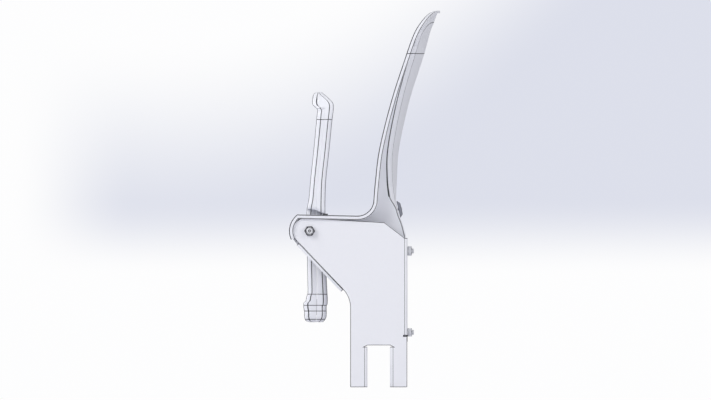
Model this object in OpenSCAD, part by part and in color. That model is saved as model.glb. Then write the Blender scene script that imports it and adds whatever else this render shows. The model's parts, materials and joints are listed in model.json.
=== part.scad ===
// Tip-up stadium seat for a rectangular carrier beam, seat folded up at rest.
// Millimetres. +X is the sitter's left, -Y is ahead of the sitter, +Z is up.
// The origin is the middle of the beam notch, at the notch's top edge.

/* [Overall] */
// Width over the two arms
overall_w = 444; // [420:1:500]
// Wall of the back and arm moulding
shell_wall = 4.6; // [4:0.1:5.5]
// Depth of the lip round the moulding's rim
rim_depth = 8.6; // [7:0.1:12]
// Width of each arm, from rim to inner cheek
arm_w = 47.5; // [45:0.5:60]

/* [Layout] */
// Seat pivot ahead of the beam's middle
pivot_ahead = 134.8; // [130:0.5:150]
// Seat pivot above the beam's top
pivot_above = 222.9; // [210:0.5:240]
// Arm top above the pivot
arm_rise = 32.4; // [31:0.1:34]
// Fall of the arm top towards the back
arm_fall = 2.4; // [0:0.1:4]
// Radius of the arm's nose about the pivot
nose_r = 40.5; // [38:0.1:41.5]
// Front of the back's rim behind the pivot, at its foot
back_setback = 124.3; // [120:0.5:128]
// Radius between arm and back
junction_r = 31; // [20:0.5:36]
// Height of the back above the arm top
back_rise = 397; // [340:1:430]
// Depth that the back's side outline follows
back_run = 130; // [110:1:140]

/* [Bracket] */
// Sheet thickness of the steel side brackets
sheet_t = 3; // [2.5:0.5:4]
// Inside radius of the bends
bend_r = 2.85; // [2:0.05:4]
// Width of the bent flanges, over the bend
flange_w = 38; // [36:1:40]
// Gap between the bracket and the moulding's lip
bracket_gap = 0.6; // [0.3:0.1:1]
// Clear width of the beam notch
notch_w = 44; // [40:0.5:48]
// Height of the beam notch
notch_h = 81.7; // [70:0.5:100]
// Each leg's outer edge from the beam's middle
leg_half_w = 55.5; // [50:0.5:60]
// Corner between front leg and slanting edge, above the beam's top
knee_h = 94; // [80:1:110]
// Radius of that corner
knee_r = 50; // [30:1:60]
// Nose radius of the steel plate
plate_nose_r = 25.5; // [22:0.5:26]
// Plate nose centre ahead of the pivot
plate_nose_ahead = 8.4; // [6:0.1:9]
// Lower end of the rear flange's bend, above the beam's top
rear_bend_z = 19.3; // [15:0.1:24]
// Radius of the holes for the beam's cross bolts
beam_hole_r = 4.5; // [4:0.1:5.5]
// Height of the cross bolt holes below the beam's top
beam_hole_drop = 41; // [30:1:55]

/* [Seat] */
// Length of the seat from front edge to rear edge
seat_len = 448.5; // [440:0.5:455]
// Part of that length behind the pivot
seat_tail = 177.8; // [174:0.1:178.5]
// Depth from pivot to the highest line of the sitting face
seat_crown = 47.2; // [45:0.1:49]
// Gap from the seat's side ahead of the arms to the arms' outer faces
seat_side_gap = 4; // [1:0.5:12]
// Radius of the front corners in plan
seat_corner_r = 53; // [30:1:70]
// Radius of the rear corners in plan
tail_corner_r = 14; // [8:1:20]
// Wall of both seat mouldings
seat_wall = 3.2; // [2.5:0.1:4]
// Gap between the seat's narrow part and the cheeks
waist_gap = 4.5; // [4:0.1:6]
// Gap between the arm's nose and the seat round it
nose_gap = 2; // [1.5:0.1:3]
// Gap over the arm top, less the stop pad
shoulder_gap = 1.6; // [1.4:0.1:2.5]
// Angle of the lowered seat
seat_drop_deg = 82; // [78:0.5:82]

/* [Pivot] */
// Thread radius of the pivot bolts
pivot_r = 6; // [5:0.5:7]
// Running gap of the bushes on the bolts
pivot_run = 0.05; // [0.02:0.01:0.08]
// Wall of the bushes
bush_wall = 2; // [1.5:0.1:2.5]
// Thickness of the bush flange
bush_flange_t = 2; // [1.5:0.1:2.2]
// Radius of the bush flange
bush_flange_r = 12; // [11:0.5:14]
// Radius of the boss round each bush
boss_r = 17; // [15:0.5:18]
// Length of the boss
boss_len = 20; // [16:0.5:24]
// Across flats of the pivot nut and bolt head
pivot_af = 18; // [17:0.5:21]
// Height of the pivot nut
pivot_nut_h = 10.8; // [8:0.1:12]
// Height of the pivot bolt's head
pivot_head_h = 7.5; // [6:0.1:9]
// Bolt end beyond the pivot nut
pivot_end = 2.2; // [1:0.1:4]
// Radius of the washers and spacer tubes on the pivot
pivot_washer_r = 12; // [11:0.5:14]
// Thickness of the washers under the heads
pivot_washer_t = 2; // [1.5:0.1:3]

/* [Rear fasteners] */
// Thread radius of the rear bolts
rear_r = 5; // [4:0.5:6]
// Across flats of the rear nuts and heads
rear_af = 16; // [15:0.5:18]
// Height of the rear nuts
rear_nut_h = 8.4; // [6:0.1:9]
// Height of the rear bolts' heads
rear_head_h = 6.4; // [5:0.1:8]
// Bolt end beyond the rear nuts
rear_end = 4; // [2:0.1:6]
// Radius of the rear washers
rear_washer_r = 11; // [10:0.5:13]
// Thickness of the rear washers
rear_washer_t = 2; // [1.5:0.1:3]
// Upper rear bolts above the beam's top
rear_high_z = 183.9; // [170:0.1:190]
// Lower rear bolts above the beam's top
rear_low_z = 25.2; // [24:0.1:35]
// Radial gap of every bolt in its clearance hole
hole_gap = 0.3; // [0.2:0.05:0.5]

/* [Counterweight] */
// Length of the counterweight bar
weight_len = 264; // [200:2:280]
// Height of the bar along the seat
weight_h = 30; // [24:1:32]
// Depth of the bar through the seat
weight_d = 24; // [20:0.5:25]
// Distance between its two screws
weight_screw_w = 180; // [140:2:200]
// Radius of its screws
weight_screw_r = 3; // [2.5:0.1:4]

/* [Number plate] */
// Width of the number plate on the back
number_w = 64; // [50:1:90]
// Height of the number plate
number_h = 34; // [28:1:40]
// Thickness of the number plate
number_t = 6; // [4:0.5:7]
// Radius of its two rivets
number_rivet_r = 2; // [1.5:0.1:2.5]

/* [Hidden] */

$fn = 48;
overrun = 1;
fit_gap = 0.05;
seat_gap = 0.3;

// Places across the width
half_w = overall_w / 2;
seat_half_w = half_w - seat_side_gap;
cheek_x = half_w - arm_w;
plate_out = half_w - shell_wall - bracket_gap;
plate_in = plate_out - sheet_t;
waist_x = cheek_x - waist_gap;
leaf_in = plate_out - flange_w;
rear_x = (leaf_in + plate_in) / 2;

// Places in the side view, as [y, z]
pivot = [-pivot_ahead, pivot_above];
arm_z = pivot_above + arm_rise;
back_y0 = back_setback - pivot_ahead;
junction_mid = [back_y0 - junction_r, arm_z - arm_fall + junction_r];
back_foot_z = junction_mid[1];
top_z = arm_z + back_rise;

// Bracket side outline
bend_out = bend_r + sheet_t;
rear_step_share = 0.2;
rear_face = leg_half_w + rear_step_share * sheet_t;
rear_tangent = rear_face - bend_out;
plate_nose = pivot - [plate_nose_ahead, 0];
plate_corner_shares = [1.0801, 0.1231];
plate_corner = pivot + plate_corner_shares * pivot_ahead;
plate_rear_share = 0.54;
plate_rear_z = pivot_above - plate_rear_share * plate_nose_r;

// The back's side outline: height share of back_rise, then shares of back_run for the
// rim's front, the wing's rear, the side strip's rear and the middle's rear
back_shares = [
    [-0.105, 0.000, 0.424, 0.478, 0.478],
    [-0.050, 0.000, 0.390, 0.435, 0.437],
    [0.000, 0.000, 0.331, 0.377, 0.383],
    [0.036, 0.000, 0.295, 0.348, 0.358],
    [0.072, 0.000, 0.255, 0.322, 0.342],
    [0.169, 0.025, 0.225, 0.284, 0.353],
    [0.316, 0.082, 0.235, 0.288, 0.382],
    [0.562, 0.268, 0.369, 0.429, 0.544],
    [0.790, 0.494, 0.572, 0.625, 0.764],
    [0.909, 0.618, 0.716, 0.751, 0.865],
    [1.000, 0.718, 0.820, 0.880, 0.969]
];
RIM = 1;
WING = 2;
STRIP = 3;
MIDDLE = 4;

// The seat's faces as shares: along seat_len from the rear edge, then of seat_crown
sit_shares = [
    [0.002, 0.561], [0.010, 0.640], [0.024, 0.695], [0.035, 0.703], [0.072, 0.703],
    [0.077, 0.735], [0.098, 0.748], [0.124, 0.735], [0.201, 0.699], [0.340, 0.670],
    [0.472, 0.648], [0.531, 0.648], [0.618, 0.680], [0.749, 0.814], [0.864, 0.922],
    [0.910, 0.975], [0.934, 1.000], [0.946, 0.990], [0.957, 0.945], [0.977, 0.756],
    [0.999, 0.513]
];
under_shares = [
    [0.000, 0.000], [0.003, -0.121], [0.009, -0.178], [0.021, -0.218], [0.044, -0.222],
    [0.062, -0.252], [0.084, -0.248], [0.092, -0.169], [0.114, -0.127], [0.125, -0.083],
    [0.166, -0.083], [0.288, -0.108], [0.396, -0.140], [0.469, -0.120], [0.531, -0.042],
    [0.618, 0.030], [0.749, 0.161], [0.905, 0.301], [0.926, 0.310], [0.946, 0.125],
    [0.978, 0.125], [0.992, 0.170], [1.000, 0.260]
];
parting_shares = [
    [-0.050, 0.270], [0.160, 0.310], [0.420, 0.270], [0.600, 0.340], [0.800, 0.560],
    [0.895, 0.640], [0.932, 0.300], [0.932, -0.500]
];

// Seat screws: share of the half width at their height, then share along seat_len
seat_screw_shares = [[0.880, 0.540], [0.880, 0.790], [0.320, 0.840], [0.860, 0.210]];
seat_screw_r = 2.2;
seat_screw_head_r = 4.4;
seat_screw_head_h = 2;
seat_screw_bite = 10;
seat_screw_boss_r = 6;

// Beam edge, legs and reliefs
relief_w = 4.4;
relief_h = 1.8;
notch_leaf_top = 3;

// Section of the crown: how far the middle of the top edge bows back and rises
crown_bow_share = 0.216;
crown_rise_share = 1.35;
corner_start_share = 0.790;
corner_p = 4.4;
corner_q = 2.6;

// Stops on arms and back
pad_l = 26;
pad_w = 10;
pad_t = shoulder_gap - seat_gap;
lug_w = 30;
lug_l = 24;
lug_t = 9;
buffer_t = 3;
buffer_r = 8;
buffer_stem_r = 2.5;

function az(z) = (z - arm_z) / back_rise;
function share_row(t, s) = max([for (j = [0 : len(t) - 2]) if (t[j][0] <= s || j == 0) j]);
function slope(t, k, i) = let (n = len(t) - 1, a = max(i - 1, 0), b = min(i + 1, n))
    (t[b][k] - t[a][k]) / (t[b][0] - t[a][0]);
// Smooth curve through column k of a share table
function curve(t, k, s) = let (
    i = share_row(t, s),
    h = t[i + 1][0] - t[i][0],
    u = (s - t[i][0]) / h)
    (1 - u) * (1 - u) * (1 + 2 * u) * t[i][k] + u * (1 - u) * (1 - u) * h * slope(t, k, i)
    + u * u * (3 - 2 * u) * t[i + 1][k] - u * u * (1 - u) * h * slope(t, k, i + 1);
function back_y(k, z) = back_y0 + back_run * curve(back_shares, k, az(z));

// Height of the back's outline at x, falling away over the corners as a superellipse
corner_z = arm_z + corner_start_share * back_rise;
function outline_z(x) = corner_z + (top_z - corner_z)
    * pow(max(0, 1 - pow(min(1, abs(x) / half_w), corner_p)), 1 / corner_q);
function crown(x, z) = crown_bow_share * back_run * (1 - pow(x / half_w, 2))
    * min(1, max(0, (z - corner_z) / (top_z - corner_z) * crown_rise_share));
function rim_y(x, z) = back_y(RIM, z) + crown(x, z);
// Rear face of the bowed panel at x
function panel_y(x, z) = let (e = min(1, abs(x) / cheek_x))
    back_y(STRIP, z) + (back_y(MIDDLE, z) - back_y(STRIP, z)) * (1 - e * e);

// Side outline of arm and rim up to height z_end, as [y, z] points
nose_low_deg = 205;
nose_high_deg = 180 - asin(arm_rise / nose_r);
function arm_path() = concat(
    [for (i = [0 : 9]) let (a = nose_low_deg + (nose_high_deg - nose_low_deg) * i / 9)
        pivot + nose_r * [cos(a), sin(a)]],
    [for (i = [0 : 6]) let (a = -90 + 15 * i) junction_mid + junction_r * [cos(a), sin(a)]]);
function wing_path(x, z_end) = [for (i = [1 : 9])
    let (z = back_foot_z + (z_end - back_foot_z) * i / 9) [rim_y(x, z), z]];
function side_path(x, z_end) = concat(arm_path(), wing_path(x, z_end));
function unit(v) = v / norm(v);
// The same outline moved in by d, square to itself
function inset_path(p, d) = [for (i = [0 : len(p) - 1]) let (
    a = unit(p[min(i + 1, len(p) - 1)] - p[max(i - 1, 0)])) p[i] + d * [a[1], -a[0]]];
function flip(p) = [for (i = [len(p) - 1 : -1 : 0]) p[i]];

// Draws an outline given in [y, z] as a slab between two x values
module side_slab(x0, x1) {
    translate([min(x0, x1), 0, 0]) rotate([90, 0, 90])
        linear_extrude(height = abs(x1 - x0)) children();
}
// Draws an outline given in [x, z] as a slab between two y values
module front_slab(y0, y1) {
    translate([0, y1, 0]) rotate([90, 0, 0]) linear_extrude(height = y1 - y0) children();
}
// Round bar along x, and along y
module x_bar(r, x0, x1, at = pivot) {
    translate([min(x0, x1), at[0], at[1]]) rotate([0, 90, 0]) cylinder(r = r, h = abs(x1 - x0));
}
module y_bar(r, y0, y1, x, z) {
    translate([x, y1, z]) rotate([90, 0, 0]) cylinder(r = r, h = y1 - y0);
}
module both_sides() {
    children();
    mirror([1, 0, 0]) children();
}
module hex_bar(af, h) {
    cylinder(r = af / sqrt(3), h = h, $fn = 6);
}

// Solid between rings of points. A ring runs up k front points, round a lip, and down again,
// so its flat ends are laid as a strip between front and rear
module skin(rings, k) {
    n = len(rings[0]);
    m = len(rings);
    last = (m - 1) * n;
    polyhedron(points = [for (r = rings) each r], faces = concat(
        [for (i = [0 : k - 1]) [n - 1 - i, n - 2 - i, i + 1, i]],
        [for (i = [0 : k - 1]) [last + i, last + i + 1, last + n - 2 - i, last + n - 1 - i]],
        [[k + 3, k + 2, k + 1, k], [last + k, last + k + 1, last + k + 2, last + k + 3]],
        [for (j = [0 : m - 2], i = [0 : n - 1]) [j * n + i, j * n + (i + 1) % n, (j + 1) * n + i]],
        [for (j = [0 : m - 2], i = [0 : n - 1])
            [j * n + (i + 1) % n, (j + 1) * n + (i + 1) % n, (j + 1) * n + i]]));
}

// Bent flange along the edge from a to b of a plate lying at plate_out, leaf inwards
module bent_flange(a, b, width = flange_w, low = 0, high = 0) {
    run = norm(b - a);
    turn = atan2(b[1] - a[1], b[0] - a[0]);
    translate([0, a[0], a[1]]) rotate([turn, 0, 0]) {
        translate([plate_in - bend_r, run, 0]) rotate([90, 0, 0])
            linear_extrude(height = run) intersection() {
                difference() {
                    circle(r = bend_out);
                    circle(r = bend_r);
                }
                translate([0, -bend_out]) square([bend_out, bend_out]);
            }
        translate([plate_out - width, -low, -bend_out])
            cube([width - bend_out, run + low + high, sheet_t]);
    }
}
// Straight from the knee to the plate's nose, touching the nose circle
knee = [-leg_half_w, knee_h];
to_nose = plate_nose - knee;
nose_turn = atan2(to_nose[1], to_nose[0]) + asin(plate_nose_r / norm(to_nose));
nose_run = sqrt(pow(norm(to_nose), 2) - pow(plate_nose_r, 2));
nose_touch = knee + nose_run * [cos(nose_turn), sin(nose_turn)];
knee_half = (nose_turn - 90) / 2;
knee_cut = knee_r * tan(knee_half);
knee_mid = knee + [-knee_r, -knee_cut];
top_slope = atan2(plate_nose[1] + plate_nose_r - plate_corner[1], plate_corner[0] - plate_nose[0]);
leaf_y = notch_w / 2 + bend_out;
module plate_outline() {
    translate(plate_nose) circle(r = plate_nose_r);
    difference() {
        polygon(concat(
            [nose_touch, plate_nose, plate_nose + plate_nose_r * [sin(top_slope), cos(top_slope)],
            plate_corner, [rear_tangent, plate_rear_z], [rear_tangent, rear_bend_z],
            [leg_half_w, rear_bend_z - relief_h], [leg_half_w, -notch_h], [leaf_y, -notch_h],
            [leaf_y, -notch_leaf_top], [notch_w / 2, 0], [-notch_w / 2, 0],
            [-leaf_y, -notch_leaf_top], [-leaf_y, -notch_h], [-leg_half_w, -notch_h]],
            [for (i = [0 : 6]) knee_mid + knee_r * [cos(2 * knee_half * i / 6),
                sin(2 * knee_half * i / 6)]]));
        translate([rear_tangent - relief_h, rear_bend_z - relief_h])
            square([relief_w + relief_h, relief_h]);
    }
}
module bracket() {
    difference() {
        union() {
            side_slab(plate_in, plate_out) plate_outline();
            // rear flange, running down past its bend to carry the lower bolt
            bent_flange([rear_tangent, rear_bend_z], [rear_tangent, plate_rear_z],
                low = rear_low_z / 2);
            // slanting flange under the arm
            bent_flange(knee + (nose_run - plate_nose_r / 3) * unit(nose_touch - knee),
                knee + knee_cut * unit(nose_touch - knee), width = 0.6 * flange_w);
            // the two leaves that grip the beam
            bent_flange([-leaf_y, -notch_h], [-leaf_y, -notch_leaf_top]);
            bent_flange([leaf_y, -notch_leaf_top], [leaf_y, -notch_h]);
        }
        x_bar(pivot_r + hole_gap, plate_in - overrun, plate_out + overrun);
        for (z = [rear_low_z, rear_high_z])
            y_bar(rear_r + hole_gap, rear_face - 2 * sheet_t, rear_face + overrun, rear_x, z);
        y_bar(beam_hole_r, -leaf_y, leaf_y, rear_x, -beam_hole_drop);
    }
}
module bracket_left() { color([0.80, 0.81, 0.85]) bracket(); }
module bracket_right() { color([0.80, 0.81, 0.85]) mirror([1, 0, 0]) bracket(); }

// Back, arms and tail in one moulding
tail_back = rear_face - sheet_t;
tail_x = plate_in - 2 * bend_r;
tail_low = rear_low_z - 1.4 * rear_washer_r;
panel_low = arm_z + back_shares[0][0] * back_rise;
panel_edge = cheek_x + shell_wall / 2;
side_shares = [0.98, 0.75, 0.55, 0.38, 0.24, 0.11];
lip_shares = [1, 0.4, 0];
// Ring of a strip: front points, a lip turned back at the upper end, rear points
function lipped(front, rear) = let (
    n = len(front) - 1,
    along = unit(front[n] - front[n - 1]),
    back = [along[1], -along[0]],
    tip = front[n] + rim_depth * back)
    concat(front, [tip, tip - shell_wall * along, front[n] + shell_wall * (back - along)],
        flip([for (i = [0 : n - 1]) rear[i]]));
function at_x(x, ring) = [for (p = ring) [x, p[0], p[1]]];
panel_rows = 22;
module back_panel() {
    skin([for (i = [-8 : 8]) let (
        x = panel_edge * i / 8,
        zs = [for (j = [0 : panel_rows]) panel_low + (outline_z(x) - panel_low) * j / panel_rows],
        rear = [for (z = zs) [panel_y(x, z), z]])
        at_x(x, lipped([for (p = rear) p - [shell_wall, 0]], rear))], panel_rows);
}
module arm_flange() {
    function flange_ring(x, depth) = let (front = side_path(x, outline_z(x)))
        at_x(x, lipped(front, inset_path(front, depth)));
    skin(concat(
        [for (s = side_shares) flange_ring(half_w - arm_w * s, shell_wall)],
        [for (s = lip_shares) flange_ring(half_w - shell_wall * s, rim_depth)]),
        len(side_path(half_w, corner_z)) - 1);
}
cheek_top = outline_z(cheek_x + shell_wall) - shell_wall;
cheek_zs = [for (j = [0 : 10]) cheek_top + (panel_low - cheek_top) * j / 10];
cheek_foot_shares = [0.4, 0.9];
module cheek() {
    side_slab(cheek_x, cheek_x + shell_wall) polygon(concat(
        inset_path(side_path(cheek_x, cheek_top), shell_wall / 4),
        [for (z = cheek_zs) [back_y(STRIP, z) - shell_wall / 4, z]],
        [[tail_back - shell_wall / 4, panel_low], [tail_back - shell_wall / 4, pivot_above / 2],
        [tail_back - 2 * shell_wall, pivot_above / 2], pivot + nose_r * [cheek_foot_shares[0], -cheek_foot_shares[1]],
        pivot - nose_r * cheek_foot_shares]));
}
module side_strip() {
    zs = [for (j = [0 : 10]) panel_low + (corner_z - panel_low) * j / 10];
    side_slab(cheek_x + 0.7 * shell_wall, cheek_x + 2.3 * shell_wall) polygon(concat(
        [for (z = zs) [back_y(WING, z), z]], flip([for (z = zs) [back_y(STRIP, z), z]])));
}
module tail() {
    high = panel_low + 2 * shell_wall;
    side_slab(-cheek_x - overrun, cheek_x + overrun) polygon([
        [tail_back, tail_low], [tail_back, panel_low - shell_wall],
        [back_y(STRIP, high), high], [back_y(STRIP, high) - shell_wall, high],
        [tail_back - shell_wall, panel_low - shell_wall], [tail_back - shell_wall, tail_low]]);
    both_sides() translate([cheek_x, tail_back - 1.6 * shell_wall, tail_low])
        cube([tail_x - cheek_x, 1.6 * shell_wall, plate_rear_z - tail_low]);
}
// Lug over the rear edge of the lowered seat, drawn square to that edge
ledge_share = 0.0535;
ledge_a = seat_crown * curve(sit_shares, 1, ledge_share);
ledge_b = ledge_share * seat_len - seat_tail;
lug_x = cheek_x - lug_w / 2;
module in_lowered_seat() {
    translate([0, pivot[0], pivot[1]]) rotate([seat_drop_deg, 0, 0]) children();
}
module stop_lug() {
    in_lowered_seat() translate([cheek_x - lug_w, ledge_a + seat_gap + buffer_t, ledge_b - lug_l / 2])
        cube([lug_w + shell_wall / 2, lug_t, lug_l]);
}
module back_shell() {
    color([0.86, 0.87, 0.92]) difference() {
        union() {
            back_panel();
            tail();
            both_sides() {
                arm_flange();
                cheek();
                side_strip();
                stop_lug();
            }
        }
        both_sides() {
            x_bar(pivot_r + hole_gap, cheek_x - overrun, cheek_x + shell_wall + overrun);
            for (z = [rear_low_z, rear_high_z])
                y_bar(rear_r + hole_gap, tail_back - 2 * shell_wall, tail_back + overrun, rear_x, z);
            in_lowered_seat() translate([lug_x, ledge_a, ledge_b]) rotate([-90, 0, 0])
                cylinder(r = buffer_stem_r + fit_gap, h = 2 * lug_t);
        }
        for (x = [-1, 1] * number_pitch / 2)
            number_bar(number_rivet_r + fit_gap, -2 * shell_wall, overrun, x);
    }
}

// Number plate on the lower back, square to the back's slope there
number_mid_z = back_foot_z - 0.55 * number_h;
number_pitch = 0.72 * number_w;
number_y = panel_y(0, number_mid_z);
number_lean = atan2(panel_y(0, number_mid_z - number_h / 2) - panel_y(0, number_mid_z + number_h / 2),
    number_h);
number_sag = (panel_y(0, number_mid_z - number_h / 2) + panel_y(0, number_mid_z + number_h / 2)) / 2
    - number_y;
number_set = 2 * seat_gap + max(0, number_sag);
module number_frame() {
    translate([0, number_y + number_set, number_mid_z]) rotate([number_lean, 0, 0]) children();
}
module number_bar(r, y0, y1, x) {
    number_frame() y_bar(r, y0, y1, x, 0);
}
module number_plate() {
    color([0.55, 0.57, 0.62]) difference() {
        number_frame() translate([-number_w / 2, 0, 0]) rotate([90, 0, 90])
            linear_extrude(height = number_w) polygon([
                [0, -number_h / 2], [number_t, number_t - number_h / 2],
                [number_t, number_h / 2 - number_t], [0, number_h / 2]]);
        for (x = [-1, 1] * number_pitch / 2)
            number_bar(number_rivet_r + fit_gap, -overrun, number_t + overrun, x);
    }
}
module number_rivets() {
    color([0.75, 0.76, 0.78]) for (x = [-1, 1] * number_pitch / 2) {
        number_bar(number_rivet_r, -shell_wall - number_set - number_rivet_r, number_t + fit_gap, x);
        number_bar(1.8 * number_rivet_r, number_t + fit_gap, number_t + number_rivet_r / 2, x);
        number_bar(1.8 * number_rivet_r, -shell_wall - number_set - number_rivet_r,
            -shell_wall - number_set - 2 * fit_gap, x);
    }
}

// Bolts through the rear flanges and the tail
rear_head_y = tail_back - 1.6 * shell_wall - rear_washer_t;
module at_rear_bolts() {
    for (s = [-1, 1], z = [rear_low_z, rear_high_z]) translate([s * rear_x, 0, z])
        rotate([-90, 0, 0]) rotate(z == rear_high_z ? 30 : 0) children();
}
module rear_bolts() {
    color([0.78, 0.78, 0.76]) at_rear_bolts() {
        translate([0, 0, rear_head_y - rear_head_h]) hex_bar(rear_af, rear_head_h);
        translate([0, 0, rear_head_y - rear_head_h / 2])
            cylinder(r = rear_r, h = rear_face + rear_nut_h + rear_end - rear_head_y + rear_head_h / 2);
    }
}
module rear_washers() {
    color([0.78, 0.78, 0.76]) at_rear_bolts() translate([0, 0, rear_head_y]) difference() {
        cylinder(r = rear_washer_r, h = rear_washer_t);
        translate([0, 0, -overrun]) cylinder(r = rear_r + hole_gap, h = rear_washer_t + 2 * overrun);
    }
}
module rear_nuts() {
    color([0.78, 0.78, 0.76]) at_rear_bolts() translate([0, 0, rear_face]) difference() {
        hex_bar(rear_af, rear_nut_h);
        translate([0, 0, -overrun]) cylinder(r = rear_r + fit_gap, h = rear_nut_h + 2 * overrun);
    }
}

// Seat pivot, from the head inside the seat to the nut outside the bracket
bush_r = pivot_r + pivot_run + bush_wall;
boss_in = waist_x - boss_len;
head_washer_x = boss_in - seat_gap - pivot_washer_t;
thrust_in = waist_x + bush_flange_t + seat_gap;
module at_pivot(x) {
    translate([x, pivot[0], pivot[1]]) rotate([0, 90, 0]) rotate(30) children();
}
module ring(r, bore, x0, x1) {
    difference() {
        x_bar(r, x0, x1);
        x_bar(bore, x0 - overrun, x1 + overrun);
    }
}
module pivot_bolts() {
    color([0.80, 0.80, 0.78]) both_sides() {
        at_pivot(head_washer_x - pivot_head_h) hex_bar(pivot_af, pivot_head_h);
        x_bar(pivot_r, head_washer_x - pivot_head_h / 2, plate_out + pivot_nut_h + pivot_end);
    }
}
module pivot_nuts() {
    color([0.80, 0.80, 0.78]) both_sides() difference() {
        at_pivot(plate_out) hex_bar(pivot_af, pivot_nut_h);
        x_bar(pivot_r + fit_gap, plate_out - overrun, plate_out + pivot_nut_h + overrun);
    }
}
module pivot_spacers() {
    color([0.70, 0.71, 0.74]) both_sides()
        ring(pivot_washer_r - bush_wall, pivot_r + hole_gap, cheek_x + shell_wall, plate_in);
}
module head_washers() {
    color([0.78, 0.78, 0.76]) both_sides()
        ring(pivot_washer_r, pivot_r + hole_gap, head_washer_x, head_washer_x + pivot_washer_t);
}
module pivot_bushes() {
    color([0.93, 0.92, 0.86]) both_sides() difference() {
        union() {
            x_bar(bush_r, boss_in, waist_x + bush_flange_t);
            x_bar(bush_flange_r, waist_x, waist_x + bush_flange_t);
        }
        x_bar(pivot_r + pivot_run, boss_in - overrun, waist_x + bush_flange_t + overrun);
    }
}
module thrust_washers() {
    color([0.25, 0.25, 0.27]) both_sides()
        ring(bush_flange_r, pivot_r + hole_gap, thrust_in, cheek_x);
}

// Seat outline in side view and in plan, each drawn in by d
shoulder_b = arm_rise + shoulder_gap;
seat_front_b = seat_len - seat_tail;
sweep_r = nose_r + nose_gap;
function seat_a(table, s) = seat_crown * curve(table, 1, s);
function seat_points(table) = [for (r = table)
    pivot + [r[1] * seat_crown, r[0] * seat_len - seat_tail]];
module seat_side(d) {
    offset(delta = -d) polygon(concat(seat_points(under_shares), flip(seat_points(sit_shares))));
}
function arc(mid, r, a0, a1, n) = [for (i = [0 : n])
    let (a = a0 + (a1 - a0) * i / n) mid + r * [cos(a), sin(a)]];
function seat_plan_half(d) = concat(
    arc([waist_x - tail_corner_r, tail_corner_r - seat_tail], tail_corner_r - d, -90, 0, 6),
    [[waist_x - d, shoulder_b + d], [seat_half_w - d, shoulder_b + d]],
    arc([seat_half_w - seat_corner_r, seat_front_b - seat_corner_r], seat_corner_r - d, 0, 90, 12));
function mirrored(p) = [for (q = flip(p)) [-q[0], q[1]]];
module seat_block(d) {
    difference() {
        intersection() {
            side_slab(-half_w, half_w) seat_side(d);
            translate([0, 0, pivot[1]]) front_slab(pivot[0] - seat_crown, pivot[0] + 2 * seat_crown)
                polygon(concat(seat_plan_half(d), mirrored(seat_plan_half(d))));
        }
        both_sides() x_bar(sweep_r + d, waist_x - d, half_w + overrun);
    }
}
module seat_shell() {
    difference() {
        seat_block(0);
        seat_block(seat_wall);
    }
}
// Everything on the sitting side of the parting line
module sitting_side() {
    far = seat_points([[1.1, -0.8], [1.1, 1.8], [-0.05, 1.8]]);
    side_slab(-half_w, half_w) polygon(concat(seat_points(parting_shares), far));
}
module screw_places(s) {
    let (u = s[1], edge = u * seat_len - seat_tail > shoulder_b ? seat_half_w : waist_x)
        for (side = [-1, 1]) translate([side * s[0] * edge, pivot[0], pivot[1] + u * seat_len
            - seat_tail]) rotate([-90, 0, 0]) children();
}
// Bar square to the seat, from depth a0 to depth a1, at the origin of its screw
module a_bar(r, a0, a1) {
    translate([0, 0, a0]) cylinder(r = r, h = a1 - a0);
}
screw_sink = 1.2 * seat_screw_head_h;
function screw_a(s) = seat_a(under_shares, s[1]);
weight_base_share = -0.055;
weight_mid_share = 0.066;
weight_a = weight_base_share * seat_crown;
weight_b = weight_mid_share * seat_len - seat_tail;
weight_top = weight_a + weight_d;
weight_sink = 1.8 * weight_screw_r;
module weight_places() {
    for (side = [-1, 1]) translate([side * weight_screw_w / 2, pivot[0], pivot[1] + weight_b])
        rotate([-90, 0, 0]) children();
}
// Half the boss zone stays with the upper moulding so that it holds the whole bush
module boss_zone(r, x0) {
    both_sides() x_bar(r, x0, waist_x);
}
boss_clear = boss_r + 2;
module seat_top() {
    color([0.86, 0.87, 0.92]) difference() {
        union() {
            intersection() {
                seat_shell();
                union() {
                    sitting_side();
                    boss_zone(boss_clear, boss_in);
                }
            }
            boss_zone(boss_r, boss_in);
            for (s = seat_screw_shares) screw_places(s) a_bar(seat_screw_boss_r,
                screw_a(s) + 1.3 * seat_wall, seat_a(sit_shares, s[1]) - seat_wall / 2);
            weight_places() a_bar(2.6 * weight_screw_r, weight_top + fit_gap, ledge_a - seat_wall / 2);
        }
        both_sides() x_bar(bush_r + fit_gap, boss_in - overrun, waist_x + overrun);
        for (s = seat_screw_shares) screw_places(s) a_bar(seat_screw_r + fit_gap,
            screw_a(s), screw_a(s) + screw_sink + seat_wall + seat_screw_bite + overrun);
        weight_places() a_bar(weight_screw_r + fit_gap, weight_top, ledge_a - seat_wall - fit_gap);
    }
}
module seat_underside() {
    color([0.80, 0.81, 0.86]) difference() {
        seat_shell();
        sitting_side();
        boss_zone(boss_clear + seat_gap, head_washer_x - 1.8 * pivot_head_h);
        for (s = seat_screw_shares) screw_places(s) {
            a_bar(seat_screw_r + hole_gap, -seat_crown, screw_a(s) + 2 * seat_wall);
            a_bar(seat_screw_head_r + hole_gap, -seat_crown, screw_a(s) + screw_sink);
        }
    }
}
module seat_screws() {
    color([0.35, 0.36, 0.38]) for (s = seat_screw_shares) screw_places(s) {
        a_bar(seat_screw_head_r, screw_a(s) + screw_sink - seat_screw_head_h, screw_a(s) + screw_sink);
        a_bar(seat_screw_r, screw_a(s) + screw_sink - seat_screw_head_h / 2,
            screw_a(s) + screw_sink + seat_wall + seat_screw_bite);
    }
}
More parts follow.
